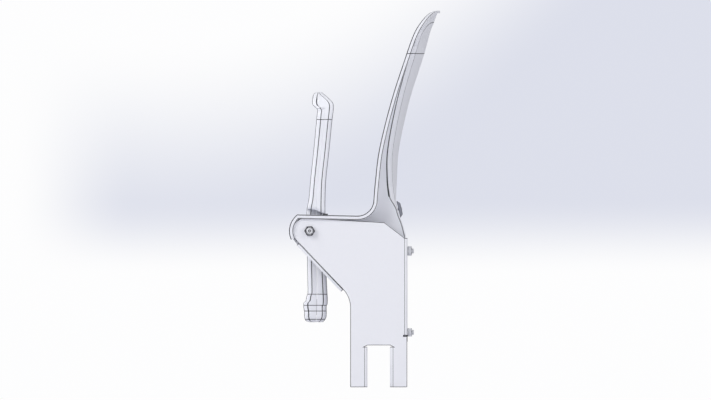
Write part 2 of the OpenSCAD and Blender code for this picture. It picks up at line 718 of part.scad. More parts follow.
module counterweight() {
    color([0.42, 0.43, 0.45]) difference() {
        translate([-weight_len / 2, pivot[0] + weight_a, pivot[1] + weight_b - weight_h / 2])
            cube([weight_len, weight_d, weight_h]);
        weight_places() {
            a_bar(weight_screw_r + hole_gap, weight_a - overrun, weight_top + overrun);
            a_bar(2 * weight_screw_r, weight_a - overrun, weight_a + weight_sink);
        }
    }
}
module weight_screws() {
    color([0.35, 0.36, 0.38]) weight_places() {
        a_bar(1.7 * weight_screw_r, weight_a + weight_sink / 4, weight_a + weight_sink);
        a_bar(weight_screw_r, weight_a + weight_sink / 2, ledge_a - seat_wall - 2 * fit_gap);
    }
}

// Stops: pads on the arms for the folded seat, buffers in the lugs for the lowered one
function arm_top(y) = let (y0 = pivot[0] - sqrt(pow(nose_r, 2) - pow(arm_rise, 2)))
    arm_z - arm_fall * (y - y0) / (junction_mid[0] - y0);
module stop_pads() {
    mid = pivot[0] + seat_a(sit_shares, (seat_tail + shoulder_b) / seat_len);
    top = pivot[1] + shoulder_b - seat_gap;
    color([0.12, 0.12, 0.13]) both_sides()
        side_slab(cheek_x + arm_w / 2 - pad_l / 2, cheek_x + arm_w / 2 + pad_l / 2) polygon([
            [mid - pad_w / 2, arm_top(mid - pad_w / 2) + fit_gap],
            [mid + pad_w / 2, arm_top(mid + pad_w / 2) + fit_gap],
            [mid + pad_w / 2, top], [mid - pad_w / 2, top]]);
}
module stop_buffers() {
    color([0.12, 0.12, 0.13]) both_sides() in_lowered_seat()
        translate([lug_x, ledge_a + seat_gap, ledge_b]) rotate([-90, 0, 0]) {
            cylinder(r = buffer_r, h = buffer_t - fit_gap);
            cylinder(r = buffer_stem_r, h = buffer_t + lug_t + buffer_stem_r);
            translate([0, 0, buffer_t + lug_t + fit_gap])
                cylinder(r = 1.8 * buffer_stem_r, h = buffer_stem_r);
        }
}

bracket_left();
bracket_right();
back_shell();
rear_bolts();
rear_washers();
rear_nuts();
pivot_bolts();
pivot_nuts();
pivot_spacers();
head_washers();
pivot_bushes();
thrust_washers();
seat_top();
seat_underside();
counterweight();
weight_screws();
seat_screws();
stop_pads();
stop_buffers();
number_plate();
number_rivets();
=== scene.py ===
import json
import math

import bmesh
import bpy
import numpy as np
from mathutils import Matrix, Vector


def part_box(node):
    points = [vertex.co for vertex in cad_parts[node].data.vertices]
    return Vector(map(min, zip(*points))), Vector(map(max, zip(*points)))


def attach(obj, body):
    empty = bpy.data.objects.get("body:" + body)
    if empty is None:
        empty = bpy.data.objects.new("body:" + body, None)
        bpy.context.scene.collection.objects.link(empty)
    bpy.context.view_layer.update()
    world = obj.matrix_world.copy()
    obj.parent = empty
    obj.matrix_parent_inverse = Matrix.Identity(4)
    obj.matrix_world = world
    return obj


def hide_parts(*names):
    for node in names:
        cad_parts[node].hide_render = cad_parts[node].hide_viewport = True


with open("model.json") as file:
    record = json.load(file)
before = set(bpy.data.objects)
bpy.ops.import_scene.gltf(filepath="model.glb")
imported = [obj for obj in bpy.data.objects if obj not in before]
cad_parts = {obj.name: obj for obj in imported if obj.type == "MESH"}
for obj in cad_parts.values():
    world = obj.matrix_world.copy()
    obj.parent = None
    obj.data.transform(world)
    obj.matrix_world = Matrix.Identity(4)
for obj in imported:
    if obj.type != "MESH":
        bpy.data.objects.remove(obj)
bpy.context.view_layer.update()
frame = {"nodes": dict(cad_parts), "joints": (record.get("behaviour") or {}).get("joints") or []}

nodes = frame["nodes"]
pivot = frame["joints"][0]["pos_m"]  # the seat's hinge line
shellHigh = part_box("back_shell")[1]
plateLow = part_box("bracket_left")[0]


def addObject(name, data):
    obj = bpy.data.objects.new(name, data)
    bpy.context.scene.collection.objects.link(obj)
    return obj


# What a user would change about the picture
view = {
    "frame": (711, 400),  # pixels
    "pixelSize": 0.00195,  # metres per pixel of the side view
    "beamPixel": (378.75, 345.3),  # the frame's origin in the picture
    "distance": 6.0,
    "clipEnd": 30,
}


def makeCamera(opts):
    # Square to the side: y = (width / 2 - px) * size, z = (py - height / 2) * size
    cam = bpy.data.cameras.new("sideCamera")
    cam.type = "ORTHO"
    cam.ortho_scale = opts["frame"][0] * opts["pixelSize"]
    cam.clip_end = opts["clipEnd"]
    obj = addObject("sideCamera", cam)
    acrossY = (opts["frame"][0] / 2 - opts["beamPixel"][0]) * opts["pixelSize"]
    upZ = (opts["beamPixel"][1] - opts["frame"][1] / 2) * opts["pixelSize"]
    obj.location = (opts["distance"], acrossY, upZ)
    obj.rotation_euler = (math.radians(90), 0, math.radians(90))
    bpy.context.scene.camera = obj


makeCamera(view)
print("camera set square to the seat's side")


# Materials
finish = {
    "pale": (0.88, 0.885, 0.93),  # moulded plastic
    "deep": (0.83, 0.84, 0.89),  # the darker patches of its cloud
    "ink": (0.02, 0.02, 0.025),  # drawn lines
    "steel": (0.88, 0.885, 0.925),
    "zinc": (0.76, 0.77, 0.80),
    "grainScale": 900.0,
    "grainBump": (0.12, 0.0002),  # strength, and height in metres
    "grainGloss": (0.12, -0.06),  # roughness = the finish's own + share * cloud + shift
    "mottleScale": 260.0,
    "mottleBump": (0.1, 0.0002),
    "mottleGloss": (0.15, -0.07),
    "bendLine": 0.0004,  # half the width of the lines drawn at the brackets' bends
    "bends": [  # y, low z and high z of each
        (0.05025, 0.0193, 0.209), (-0.02785, -0.1, -0.003), (0.02785, -0.1, -0.003)],
}


def feed(tree, node, inputs):
    # A number or colour is set on the node's own socket, and another node's output is linked
    for key, value in dict(inputs).items():
        if isinstance(value, bpy.types.NodeSocket):
            tree.links.new(value, node.inputs[key])
        else:
            node.inputs[key].default_value = (*value, 1) if isinstance(value, tuple) else value


def addNode(tree, kind, inputs=(), **settings):
    node = tree.nodes.new("ShaderNode" + kind)
    for key, value in settings.items():
        setattr(node, key, value)
    feed(tree, node, inputs)
    return node


def mathNode(tree, operation, *values):
    return addNode(tree, "Math", enumerate(values), operation=operation).outputs[0]


def mixColour(tree, fac, low, high):
    # slots 0, 6 and 7 are the factor and the two colours, and 2 is the mixed colour
    return addNode(tree, "Mix", {0: fac, 6: low, 7: high}, data_type="RGBA").outputs[2]


def noiseNode(tree, vector, scale, detail=3.0, rough=0.5):
    return addNode(tree, "TexNoise", {"Vector": vector, "Scale": scale, "Detail": detail,
        "Roughness": rough}).outputs["Fac"]


def objectVector(tree):
    return addNode(tree, "TexCoord").outputs["Object"]


def splitVector(tree, vector):
    return addNode(tree, "SeparateXYZ", {0: vector}).outputs


def addBump(tree, height, strength, distance):
    return addNode(tree, "Bump", {"Strength": strength, "Distance": distance,
        "Height": height}).outputs["Normal"]


def newMaterial(name):
    mat = bpy.data.materials.new(name)
    mat.use_nodes = True
    return mat, mat.node_tree, mat.node_tree.nodes["Principled BSDF"]


def newGroup(name, inputs, outputs):
    group = bpy.data.node_groups.new(name, "ShaderNodeTree")
    for label, value in inputs.items():
        kind = "Vector" if value is None else "Float"
        socket = group.interface.new_socket(label, in_out="INPUT", socket_type="NodeSocket" + kind)
        if value is not None:
            socket.default_value = value
    for label in outputs:
        group.interface.new_socket(label, in_out="OUTPUT", socket_type="NodeSocketFloat")
    return group, group.nodes.new("NodeGroupInput").outputs, group.nodes.new("NodeGroupOutput")


def makeGrainGroup():
    # Fine spark-eroded grain: height = noise + smooth cell distance, with a slow cloud beside it
    group, given, result = newGroup("mouldGrain", {"Vector": None, "Scale": finish["grainScale"]},
        ["Height", "Cloud"])
    place = {"Vector": given["Vector"], "Scale": given["Scale"]}
    fine = addNode(group, "TexNoise", {**place, "Detail": 2.0})
    cells = addNode(group, "TexVoronoi", place, feature="SMOOTH_F1")
    feed(group, result, {
        "Height": mathNode(group, "ADD", fine.outputs["Fac"], cells.outputs["Distance"]),
        "Cloud": noiseNode(group, given["Vector"], 9.0, 4.0, 0.6)})
    return group


def makeLineGroup():
    # Thin lines along a surface: 1 where the coordinate is within half a width of any mark
    marks = {"Mark " + letter: -99.0 for letter in "ABCD"}  # an unused mark is off the surface
    group, given, result = newGroup("edgeLines", {"Coordinate": 0.0, "Width": 0.001, **marks},
        ["Mask"])
    half = mathNode(group, "MULTIPLY", given["Width"], 0.5)
    total = 0.0
    for mark in marks:
        away = mathNode(group, "ABSOLUTE",
            mathNode(group, "SUBTRACT", given["Coordinate"], given[mark]))
        total = mathNode(group, "MAXIMUM", mathNode(group, "LESS_THAN", away, half), total)
    feed(group, result, {"Mask": total})
    return group


grainGroup = makeGrainGroup()
lineGroup = makeLineGroup()


def drawLines(tree, colour, marks=(), cross=(), levels=()):
    # Dark lines at (mark, width) pairs: across the flow, along it, and up in z
    across, along, _ = splitVector(tree, addNode(tree, "UVMap", uv_map="flow").outputs["UV"])
    up = splitVector(tree, objectVector(tree))[2]
    mask = 0.0
    for source, pairs in ((across, marks), (along, cross), (up, levels)):
        for width in sorted({pair[1] for pair in pairs}):
            chosen = [pair[0] for pair in pairs if pair[1] == width]
            for start in range(0, len(chosen), 4):  # the group takes four marks
                places = {"Mark " + c: mark for c, mark in zip("ABCD", chosen[start:start + 4])}
                lines = addNode(tree, "Group", {"Coordinate": source, "Width": width, **places},
                    node_tree=lineGroup)
                mask = mathNode(tree, "MAXIMUM", lines.outputs["Mask"], mask)
    return mixColour(tree, mask, colour, finish["ink"])


def makePlastic(name, pale, deep, rough=0.42, marks=(), cross=(), levels=()):
    # Moulded plastic: colour = deep to pale by the cloud, with the lines of drawLines over it
    mat, tree, bsdf = newMaterial(name)
    grain = addNode(tree, "Group", {"Vector": objectVector(tree)}, node_tree=grainGroup)
    cloud = grain.outputs["Cloud"]
    colour = mixColour(tree, cloud, deep, pale)
    if marks or cross or levels:
        colour = drawLines(tree, colour, marks, cross, levels)
    share, shift = finish["grainGloss"]
    feed(tree, bsdf, {"Base Color": colour, "Specular IOR Level": 0.4,
        "Roughness": mathNode(tree, "MULTIPLY_ADD", cloud, share, rough + shift),
        "Normal": addBump(tree, grain.outputs["Height"], *finish["grainBump"])})
    return mat


def makeMetal(name, tone, rough, metallic=1.0, speckle=0.06, bends=(), cross=()):
    # Plated or painted steel: one fine mottle in colour, gloss and height, lines over the colour
    mat, tree, bsdf = newMaterial(name)
    mottle = noiseNode(tree, objectVector(tree), finish["mottleScale"], 4.0, 0.65)
    colour = mixColour(tree, mottle, tuple(c * (1 - speckle) for c in tone), tone)
    for y, low, high in bends:
        _, acrossY, upZ = splitVector(tree, objectVector(tree))
        near = mathNode(tree, "COMPARE", acrossY, y, finish["bendLine"])
        within = mathNode(tree, "COMPARE", upZ, (low + high) / 2, (high - low) / 2)
        colour = mixColour(tree, mathNode(tree, "MULTIPLY", near, within), colour, finish["ink"])
    if cross:
        colour = drawLines(tree, colour, cross=cross)
    share, shift = finish["mottleGloss"]
    feed(tree, bsdf, {"Base Color": colour, "Metallic": metallic,
        "Roughness": mathNode(tree, "MULTIPLY_ADD", mottle, share, rough + shift),
        "Normal": addBump(tree, mottle, *finish["mottleBump"])})
    return mat


def makeZinc(name, cross=()):
    return makeMetal(name, finish["zinc"], 0.32, metallic=0.35, cross=cross)


bracketPaint = makeMetal("bracketPaint", finish["steel"], 0.45, metallic=0.0, speckle=0.04,
    bends=finish["bends"])
zinc = makeZinc("zincPlate")
darkSteel = makeMetal("darkSteel", (0.2, 0.2, 0.21), 0.4)
castIron = makeMetal("castIron", (0.09, 0.09, 0.10), 0.7, metallic=0.6, speckle=0.3)
rubber = makePlastic("stopRubber", (0.025, 0.025, 0.027), (0.015, 0.015, 0.016), 0.7)
nylon = makePlastic("bushNylon", (0.86, 0.84, 0.76), (0.8, 0.78, 0.7), 0.35)
darkNylon = makePlastic("darkNylon", (0.04, 0.04, 0.045), (0.03, 0.03, 0.03), 0.4)
plateGrey = makePlastic("plateGrey", (0.34, 0.35, 0.40), (0.30, 0.31, 0.36), 0.35)
edgeInk, inkTree, inkShader = newMaterial("edgeInk")
feed(inkTree, inkShader, {"Base Color": finish["ink"], "Roughness": 0.6})
nodeFinish = {
    "bracket_left": bracketPaint, "bracket_right": bracketPaint, "rear_bolts": zinc,
    "rear_washers": zinc, "rear_nuts": zinc, "pivot_bolts": zinc, "pivot_nuts": zinc,
    "pivot_spacers": zinc, "head_washers": zinc, "pivot_bushes": nylon,
    "thrust_washers": darkNylon, "counterweight": castIron, "weight_screws": darkSteel,
    "seat_screws": darkSteel, "stop_pads": rubber, "stop_buffers": rubber,
    "number_plate": plateGrey, "number_rivets": zinc,
}
for name, mat in nodeFinish.items():
    nodes[name].data.materials.clear()
    nodes[name].data.materials.append(mat)
print("materials made")


# Mesh helpers
unmarked = 30.0  # a flow value that no line is drawn at
poleRadius = 1e-5  # a closed pole's ring, small enough to merge


def gridFaces(rows, cols, start=0):
    # Quads between neighbouring rows and columns of points numbered row by row
    corner = start + np.arange(rows - 1)[:, None] * cols + np.arange(cols - 1)[None, :]
    quads = np.stack([corner, corner + 1, corner + cols + 1, corner + cols], axis=-1)
    return quads.reshape(-1, 4)


def blankFlow(place):
    return np.full(place.shape[:2] + (2,), unmarked)


def blankLoops(mesh):
    mesh.uv_layers["flow"].data.foreach_set("uv",
        np.full(2 * len(mesh.loops), unmarked, np.float32))


def meshFromGrids(name, grids, mat, merge=1e-5):
    # Each grid is (points rows x cols x 3, flow rows x cols x 2, flipped)
    points, flows, faces, start = [], [], [], 0
    for place, flow, flipped in grids:
        rows, cols = place.shape[:2]
        quads = gridFaces(rows, cols, start)
        faces.append(quads[:, ::-1] if flipped else quads)
        points.append(place.reshape(-1, 3))
        flows.append(flow.reshape(-1, 2))
        start += rows * cols
    points, flows, faces = map(np.concatenate, (points, flows, faces))
    mesh = bpy.data.meshes.new(name)
    mesh.from_pydata(points.tolist(), [], faces.tolist())
    loops = np.empty(len(mesh.loops), np.int32)
    mesh.loops.foreach_get("vertex_index", loops)
    layer = mesh.uv_layers.new(name="flow")
    layer.data.foreach_set("uv", flows[loops].astype(np.float32).ravel())
    work = bmesh.new()
    work.from_mesh(mesh)
    bmesh.ops.remove_doubles(work, verts=work.verts, dist=merge)
    bmesh.ops.dissolve_degenerate(work, edges=work.edges, dist=merge)
    work.to_mesh(mesh)
    work.free()
    mesh.polygons.foreach_set("use_smooth", np.ones(len(mesh.polygons), bool))
    mesh.materials.append(mat)
    return addObject(name, mesh)


def turnOutward(mesh):
    work = bmesh.new()
    work.from_mesh(mesh)
    bmesh.ops.recalc_face_normals(work, faces=work.faces)
    work.to_mesh(mesh)
    work.free()


def addModifier(obj, kind, **values):
    mod = obj.modifiers.new(kind.lower(), kind)
    for key, value in values.items():
        setattr(mod, key, value)


def roundEdges(obj, width, segments=3, angle=35, inked=False, clamped=True):
    # Rounds every edge sharper than the angle; inked edges take the dark line material
    if inked:
        obj.data.materials.append(edgeInk)
    addModifier(obj, "BEVEL", width=width, segments=segments, limit_method="ANGLE",
        angle_limit=math.radians(angle), harden_normals=False, use_clamp_overlap=clamped,
        material=len(obj.data.materials) - 1 if inked else -1)


def asPoints(*columns):
    # One column for each coordinate, spread to one shape and set side by side
    return np.stack(np.broadcast_arrays(*columns), axis=-1)


def mirrorX(place):
    return place * np.array([-1.0, 1.0, 1.0])


def lengthsAlong(points):
    steps = np.linalg.norm(np.diff(points, axis=0), axis=-1)
    return np.concatenate([[0], np.cumsum(steps)])


def resample(points, count):
    along = lengthsAlong(points)
    want = np.linspace(0, along[-1], count)
    return asPoints(*(np.interp(want, along, column) for column in points.T))


def smooth(value, low, high):
    # u^2 (3 - 2 u), from 0 at low to 1 at high
    u = np.clip((value - low) / (high - low), 0, 1)
    return u * u * (3 - 2 * u)


def plateau(value, marks):
    # 0 before the first of four marks and after the last, 1 between the middle two
    return smooth(value, *marks[:2]) * (1 - smooth(value, *marks[2:]))


def unit(vectors):
    return vectors / np.linalg.norm(vectors, axis=-1, keepdims=True)


def curveThrough(table, column, share):
    # Cubic through one column of a table: slopes from both neighbours, one-sided at the ends
    table = np.asarray(table)
    xs, ys = table[:, 0], table[:, column]
    ends = np.diff(ys) / np.diff(xs)
    inner = (ys[2:] - ys[:-2]) / (xs[2:] - xs[:-2])
    slopes = np.concatenate([ends[:1], inner, ends[-1:]])
    i = np.clip(np.searchsorted(xs, share, side="right") - 1, 0, len(xs) - 2)
    h = xs[i + 1] - xs[i]
    u = (share - xs[i]) / h
    return ((1 - u) ** 2 * (1 + 2 * u) * ys[i] + u * (1 - u) ** 2 * h * slopes[i]
        + u * u * (3 - 2 * u) * ys[i + 1] - u * u * (1 - u) * h * slopes[i + 1])


def roundSection(corners, cuts, steps=4):
    # A corner C with cut t becomes (1-u)^2 (C + t before) + 2u (1-u) C + u^2 (C + t after)
    # corners: k arrays of rows x 3; cuts: k numbers, 0 keeps the point; returns rows x n x 3
    u = np.linspace(0, 1, steps + 1)[None, :, None]
    made = []
    for i, (corner, cut) in enumerate(zip(corners, cuts)):
        if cut == 0:
            made.append(corner[:, None, :])
            continue
        before, after = corners[i - 1] - corner, corners[i + 1] - corner
        reachBefore = np.linalg.norm(before, axis=-1, keepdims=True)
        reachAfter = np.linalg.norm(after, axis=-1, keepdims=True)
        short = np.minimum(np.minimum(reachBefore, reachAfter) * 0.45, cut)
        first = (corner + before / reachBefore * short)[:, None, :]
        last = (corner + after / reachAfter * short)[:, None, :]
        made.append((1 - u) ** 2 * first + 2 * u * (1 - u) * corner[:, None, :] + u * u * last)
    return np.concatenate(made, axis=1)


def flowOf(place):
    # Flow coordinates in metres: across each row, and along the first column
    across = np.array([lengthsAlong(row) for row in place])
    return asPoints(across, lengthsAlong(place[:, 0])[:, None])


# Back, arms and tail: one moulded sheet
back = {
    "wall": 0.0046,
    "rimDepth": 0.0086,
    "rimRound": 0.0022,
    "flangeRound": 0.007,
    "edgeRound": 0.0012,
    "armWidth": 0.0475,
    "armRise": 0.0324,
    "armFall": 0.0024,
    "noseRadius": 0.0405,
    "noseFrom": 205,  # degrees round the pivot where the arm's lip starts
    "setback": 0.1243,  # rim's foot behind the pivot
    "junctionRadius": 0.031,
    "run": 0.130,
    "cornerShare": 0.79,
    "cornerPowers": (4.4, 2.6),
    "crownBow": 0.216,
    "crownSpeed": 1.35,  # how soon the bow is full above the corner
    "crownFlange": 0.020,
    "crownFrom": 0.35,  # share of the way up the crown where the flange starts to narrow
    "capFrom": 0.8,  # and where the panel's last row across is
    # height share, then shares of the run: rim, strip, middle
    "shares": [
        (-0.105, 0.000, 0.478, 0.478), (-0.050, 0.000, 0.435, 0.437),
        (0.000, 0.000, 0.377, 0.383), (0.036, 0.000, 0.348, 0.358),
        (0.072, 0.000, 0.322, 0.342), (0.169, 0.025, 0.284, 0.353),
        (0.316, 0.082, 0.288, 0.382), (0.562, 0.268, 0.429, 0.544),
        (0.790, 0.494, 0.625, 0.764), (0.909, 0.618, 0.751, 0.865),
        (1.000, 0.718, 0.880, 0.969)],
    "webCut": 0.009,
    "webReach": 0.0125,  # how far the panel's first line lies inside the web's foot
    "tailLow": 0.0098,
    "tailBack": 0.0531,
    "tailFade": (0.012, 0.018),  # below and above the panel's foot, where it turns into the tail
    "melt": 0.03,  # height over which the tail's edge turns into the web
    "earHigh": 0.2091,
    "earReach": 0.2081,
    "cheekWall": 0.8,  # share of the wall
    "cheekDrop": 0.0045,  # cheek's edge inside the arm's outline
    "cheekTop": (0.002, 0.006, 0.004),  # where it meets the wing: heights from and to, and depth
    "cheekSunk": (0.9, 0.02, 0.01),  # behind the panel: share of webCut, from below, to above
    "cheekNose": (0.4, 0.9),  # its lowest corners beside and below the pivot, shares of noseRadius
    "cheekRound": 0.0014,
    "stations": 46,
    "tailStations": 14,
}
rimColumn, stripColumn, middleColumn = 1, 2, 3
halfW = shellHigh.x
armZ = pivot[2] + back["armRise"]
backRise = shellHigh.z - armZ
backY0 = pivot[1] + back["setback"]
cheekX = halfW - back["armWidth"]
cornerZ = armZ + back["cornerShare"] * backRise
junctionMid = (backY0 - back["junctionRadius"], armZ - back["armFall"] + back["junctionRadius"])
footZ = junctionMid[1]
panelLow = armZ + back["shares"][0][0] * backRise


def backY(column, z):
    return backY0 + back["run"] * curveThrough(back["shares"], column, (z - armZ) / backRise)


def aboveCorner(z):
    return (z - cornerZ) / (shellHigh.z - cornerZ)


def rimY(x, z):
    # y = rim(z) + bow * run * (1 - (x / half)^2) * clamp(speed * share of the way up the crown)
    rise = np.clip(aboveCorner(z) * back["crownSpeed"], 0, 1)
    bow = back["crownBow"] * back["run"] * (1 - (x / halfW) ** 2)
    return backY(rimColumn, z) + bow * rise


def panelY(x, z):
    # Front face of the bowed panel, with e = |x| / cheek:
    # y = strip + (middle - strip) * (1 - e^2) - wall
    e = np.minimum(1, np.abs(x) / cheekX)
    strip = backY(stripColumn, z)
    return strip + (backY(middleColumn, z) - strip) * (1 - e ** 2) - back["wall"]


def tailY(x, z):
    # The panel's foot fades into the flat tail: y = flat * (1 - f) + panel * f
    below, above = back["tailFade"]
    fade = smooth(z, panelLow - below, panelLow + above)
    flat = back["tailBack"] - back["wall"]
    return flat * (1 - fade) + panelY(x, np.maximum(z, panelLow)) * fade


def armArc(mid, radius, start, end, count):
    # Arc in the arm's outer plane: y = mid + radius cos a, z = mid + radius sin a
    a = np.radians(np.linspace(start, end, count))
    return asPoints(halfW, mid[0] + radius * np.cos(a), mid[1] + radius * np.sin(a))


def rimPath():
    # Right half of the rim: round the nose, along the arm, up the wing and over the corner
    noseTo = 180 - math.degrees(math.asin(back["armRise"] / back["noseRadius"]))
    nose = armArc(pivot[1:], back["noseRadius"], back["noseFrom"], noseTo, 12)
    bend = armArc(junctionMid, back["junctionRadius"], -90, 0, 11)
    line = nose[-1] + (bend[0] - nose[-1]) * np.linspace(0, 1, 11)[1:-1, None]
    z = np.linspace(footZ, cornerZ, back["stations"])[1:]
    wing = asPoints(halfW, rimY(halfW, z), z)
    # corner: x = half * cos(f)^(2/p), z = corner + rise * sin(f)^(2/q), resampled evenly
    p, q = back["cornerPowers"]
    f = np.linspace(0, math.pi / 2, 400)
    x = halfW * np.cos(f).clip(0) ** (2 / p)
    z = cornerZ + (shellHigh.z - cornerZ) * np.sin(f) ** (2 / q)
    corner = resample(asPoints(x, rimY(x, z), z), 40)[1:]
    corner[-1, 0] = 0
    return np.concatenate([nose, line, bend]), np.concatenate([wing, corner])


def rimFrames(path):
    # Outward direction in the outline's plane, square to the path's tangent T, and the lip T x n
    tangent = unit(np.gradient(path, axis=0))
    tangent[-1] = (-1, 0, 0)
    p, q = back["cornerPowers"]
    u = (path[:, 0] / halfW).clip(0, 1)
    w = aboveCorner(path[:, 2]).clip(0, 1)
    normal = asPoints(p * u ** (p - 1) / halfW, 0.0, q * w ** (q - 1) / (shellHigh.z - cornerZ))
    normal[path[:, 2] <= cornerZ + 1e-6] = (1, 0, 0)
    normal = unit(normal - (normal * tangent).sum(-1, keepdims=True) * tangent)
    return normal, np.cross(tangent, normal)


def rimSection(path, start):
    # Across the rim: lip's tip, rim, flange's inner edge, web's foot, the panel's first line.
    # The web goes straight in along the lip on the arms, and down to the panel behind them
    normal, lip = rimFrames(path)
    climb = aboveCorner(path[:, 2]).clip(0, 1)
    narrow = smooth(climb, back["crownFrom"], 1)
    width = back["armWidth"] + (back["crownFlange"] - back["armWidth"]) * narrow
    tip = path + back["rimDepth"] * lip
    inner = path - width[:, None] * normal
    inner[:, 1] = np.where(path[:, 2] > footZ, rimY(inner[:, 0], inner[:, 2]), inner[:, 1])
    foot = inner + back["rimDepth"] * 2 * lip
    toPanel = inner - 0.0005 * normal
    toPanel[:, 0] = np.maximum(toPanel[:, 0], 0)
    toPanel[:, 1] = np.maximum(panelY(toPanel[:, 0], toPanel[:, 2]), inner[:, 1] + 1e-4)
    foot[start:] = toPanel[start:]
    middle = foot - back["webReach"] * normal
    middle[:, 0] = np.maximum(middle[:, 0], 0)
    middle[start:, 1] = panelY(middle[start:, 0], middle[start:, 2])
    middle[:start] = foot[:start] + 0.004 * lip[:start]
    section = roundSection([tip, path, inner, foot, middle],
        [0, back["rimRound"], back["flangeRound"], back["webCut"], 0])
    # flow across counts corners: 1 to 2 is the rim's rounding, 3 to 4 the flange's, then the web's
    count = np.concatenate([[0], *(np.linspace(low, low + 1, 5) for low in (1, 3, 5)), [7]])
    flow = asPoints(count, lengthsAlong(section[:, 3])[:, None])
    return section, flow, climb[start:]


def panelGrids(ends, climb):
    # Rows across between the two webs' ends, then a crown cap of columns straight up to them
    high = int(np.searchsorted(climb, back["capFrom"]))
    ratio = ends[high:, 0] / ends[high, 0]
    share = np.concatenate([-ratio, ratio[::-1][1:]])
    x, z = ends[:high + 1, None, 0] * share, ends[:high + 1, None, 2]
    y = panelY(x, z)
    y[:, 0] = y[:, -1] = ends[:high + 1, 1]
    crown = np.concatenate([ends[high:], mirrorX(ends[high:])[::-1][1:]])[::-1]
    lift = np.linspace(0, 1, 8)[:, None]
    capX, capZ = crown[:, 0], ends[high, 2] + (crown[:, 2] - ends[high, 2]) * lift
    return share, [(asPoints(x, y, z), True), (asPoints(capX, panelY(capX, capZ), capZ), True)]


def tailGrids(outer, share):
    # The panel's foot runs down into the flat tail, with an ear behind each rear flange
    rows = back["tailStations"]
    z = np.concatenate([np.linspace(back["tailLow"], back["earHigh"], rows),
        np.linspace(back["earHigh"], footZ, rows)[1:]])[:, None]
    middleX = outer[-1, 0] * share
    centre = asPoints(middleX, tailY(middleX, z), z)
    melt = smooth(z, footZ - back["melt"], footZ)
    spread = np.linspace(1, 0, len(outer)) * (cheekX + back["wall"] / 2 - outer[0, 0])
    web = outer[:, 1] - tailY(outer[:, 0], outer[:, 2])
    edgeX = outer[:, 0] + spread * (1 - melt)
    edge = asPoints(edgeX, tailY(edgeX, z) + web * melt, z)
    ear = edge[:rows, :1].repeat(2, axis=1)
    ear[:, 0, 0] = back["earReach"]
    return [(centre, True), (edge, False), (mirrorX(edge), True), (ear, False),
        (mirrorX(ear), True)]


def makeBack():
    arm, upper = rimPath()
    start = len(arm) - 1  # the back begins where the arm's bend ends
    section, flow, climb = rimSection(np.concatenate([arm, upper]), start)
    share, panels = panelGrids(section[start:, -1], climb)
    sheets = [(section, flow, False), (mirrorX(section), flow, True)]
    for place, flipped in panels + tailGrids(section[start, 11:17], share):
        sheets.append((place, blankFlow(place), flipped))
    shell = meshFromGrids("backSheet", sheets, backPlastic)
    addModifier(shell, "SOLIDIFY", thickness=back["wall"], offset=1.0, use_even_offset=False)
    roundEdges(shell, back["edgeRound"], 2, 50, inked=True)
    return shell


def makeCheeks():
    # Flat cheeks between arm and tail, closed below along the bracket and behind along the panel
    wall, radius = back["wall"], back["noseRadius"]
    arm = rimPath()[0][:, 1:]  # side outline of the arm
    along = unit(np.gradient(arm, axis=0))
    upper = arm + back["cheekDrop"] * asPoints(along[:, 1], -along[:, 0])
    bottom, top, depth = back["cheekTop"]
    wingZ = np.linspace(footZ + bottom, footZ + top, 3)
    wing = asPoints(rimY(cheekX, wingZ) + depth, wingZ)
    stripZ = np.linspace(wingZ[-1], panelLow, 20)
    share, below, above = back["cheekSunk"]
    hidden = wall / 4 + back["webCut"] * share * smooth(stripZ, footZ - below, footZ + above)
    strip = asPoints(backY(stripColumn, stripZ) - hidden, stripZ)
    tail, half = back["tailBack"] - wall / 4, pivot[2] / 2
    noseY, noseZ = back["cheekNose"][0] * radius, pivot[2] - back["cheekNose"][1] * radius
    low = np.array([[tail, panelLow - back["tailFade"][0]], [tail, half], [tail - 0.009, half],
        [pivot[1] + noseY, noseZ], [pivot[1] - noseY, noseZ]])
    outline = np.concatenate([upper, wing, strip, low])
    size = len(outline)
    points, faces = [], []
    for side in (-1, 1):
        x = side * (cheekX + wall * 0.6 + 0.0002)  # clear of the web's face
        faces.append(list(range(len(points), len(points) + size)))
        points += asPoints(x, *outline.T).tolist()
    mesh = bpy.data.meshes.new("backCheeks")
    mesh.from_pydata(points, [], faces)
    mesh.uv_layers.new(name="flow")
    blankLoops(mesh)
    mesh.materials.append(backPlastic)
    mesh.materials.append(edgeInk)
    # only the edge along the panel is drawn dark
    first, last = len(upper) + len(wing), size - len(low)
    weights = mesh.attributes.new("bevel_weight_edge", "FLOAT", "EDGE")
    for edge, weight in zip(mesh.edges, weights.data):
        weight.value = all(first <= v % size < last for v in edge.vertices)
    obj = addObject("backCheeks", mesh)
    addModifier(obj, "SOLIDIFY", thickness=wall * back["cheekWall"], offset=0.0)
    addModifier(obj, "BEVEL", width=back["cheekRound"], segments=2, limit_method="WEIGHT",
        material=1, use_clamp_overlap=False)
    return obj


backPlastic = makePlastic("backPlastic", finish["pale"], finish["deep"],
    marks=[(0.16, 0.2), (1.35, 0.6), (5.0, 0.17), (6.0, 0.17)], levels=[(cornerZ, 0.0014)])
for piece in (makeBack(), makeCheeks()):
    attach(piece, "frame")
    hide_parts("back_shell")
print("back moulding made")


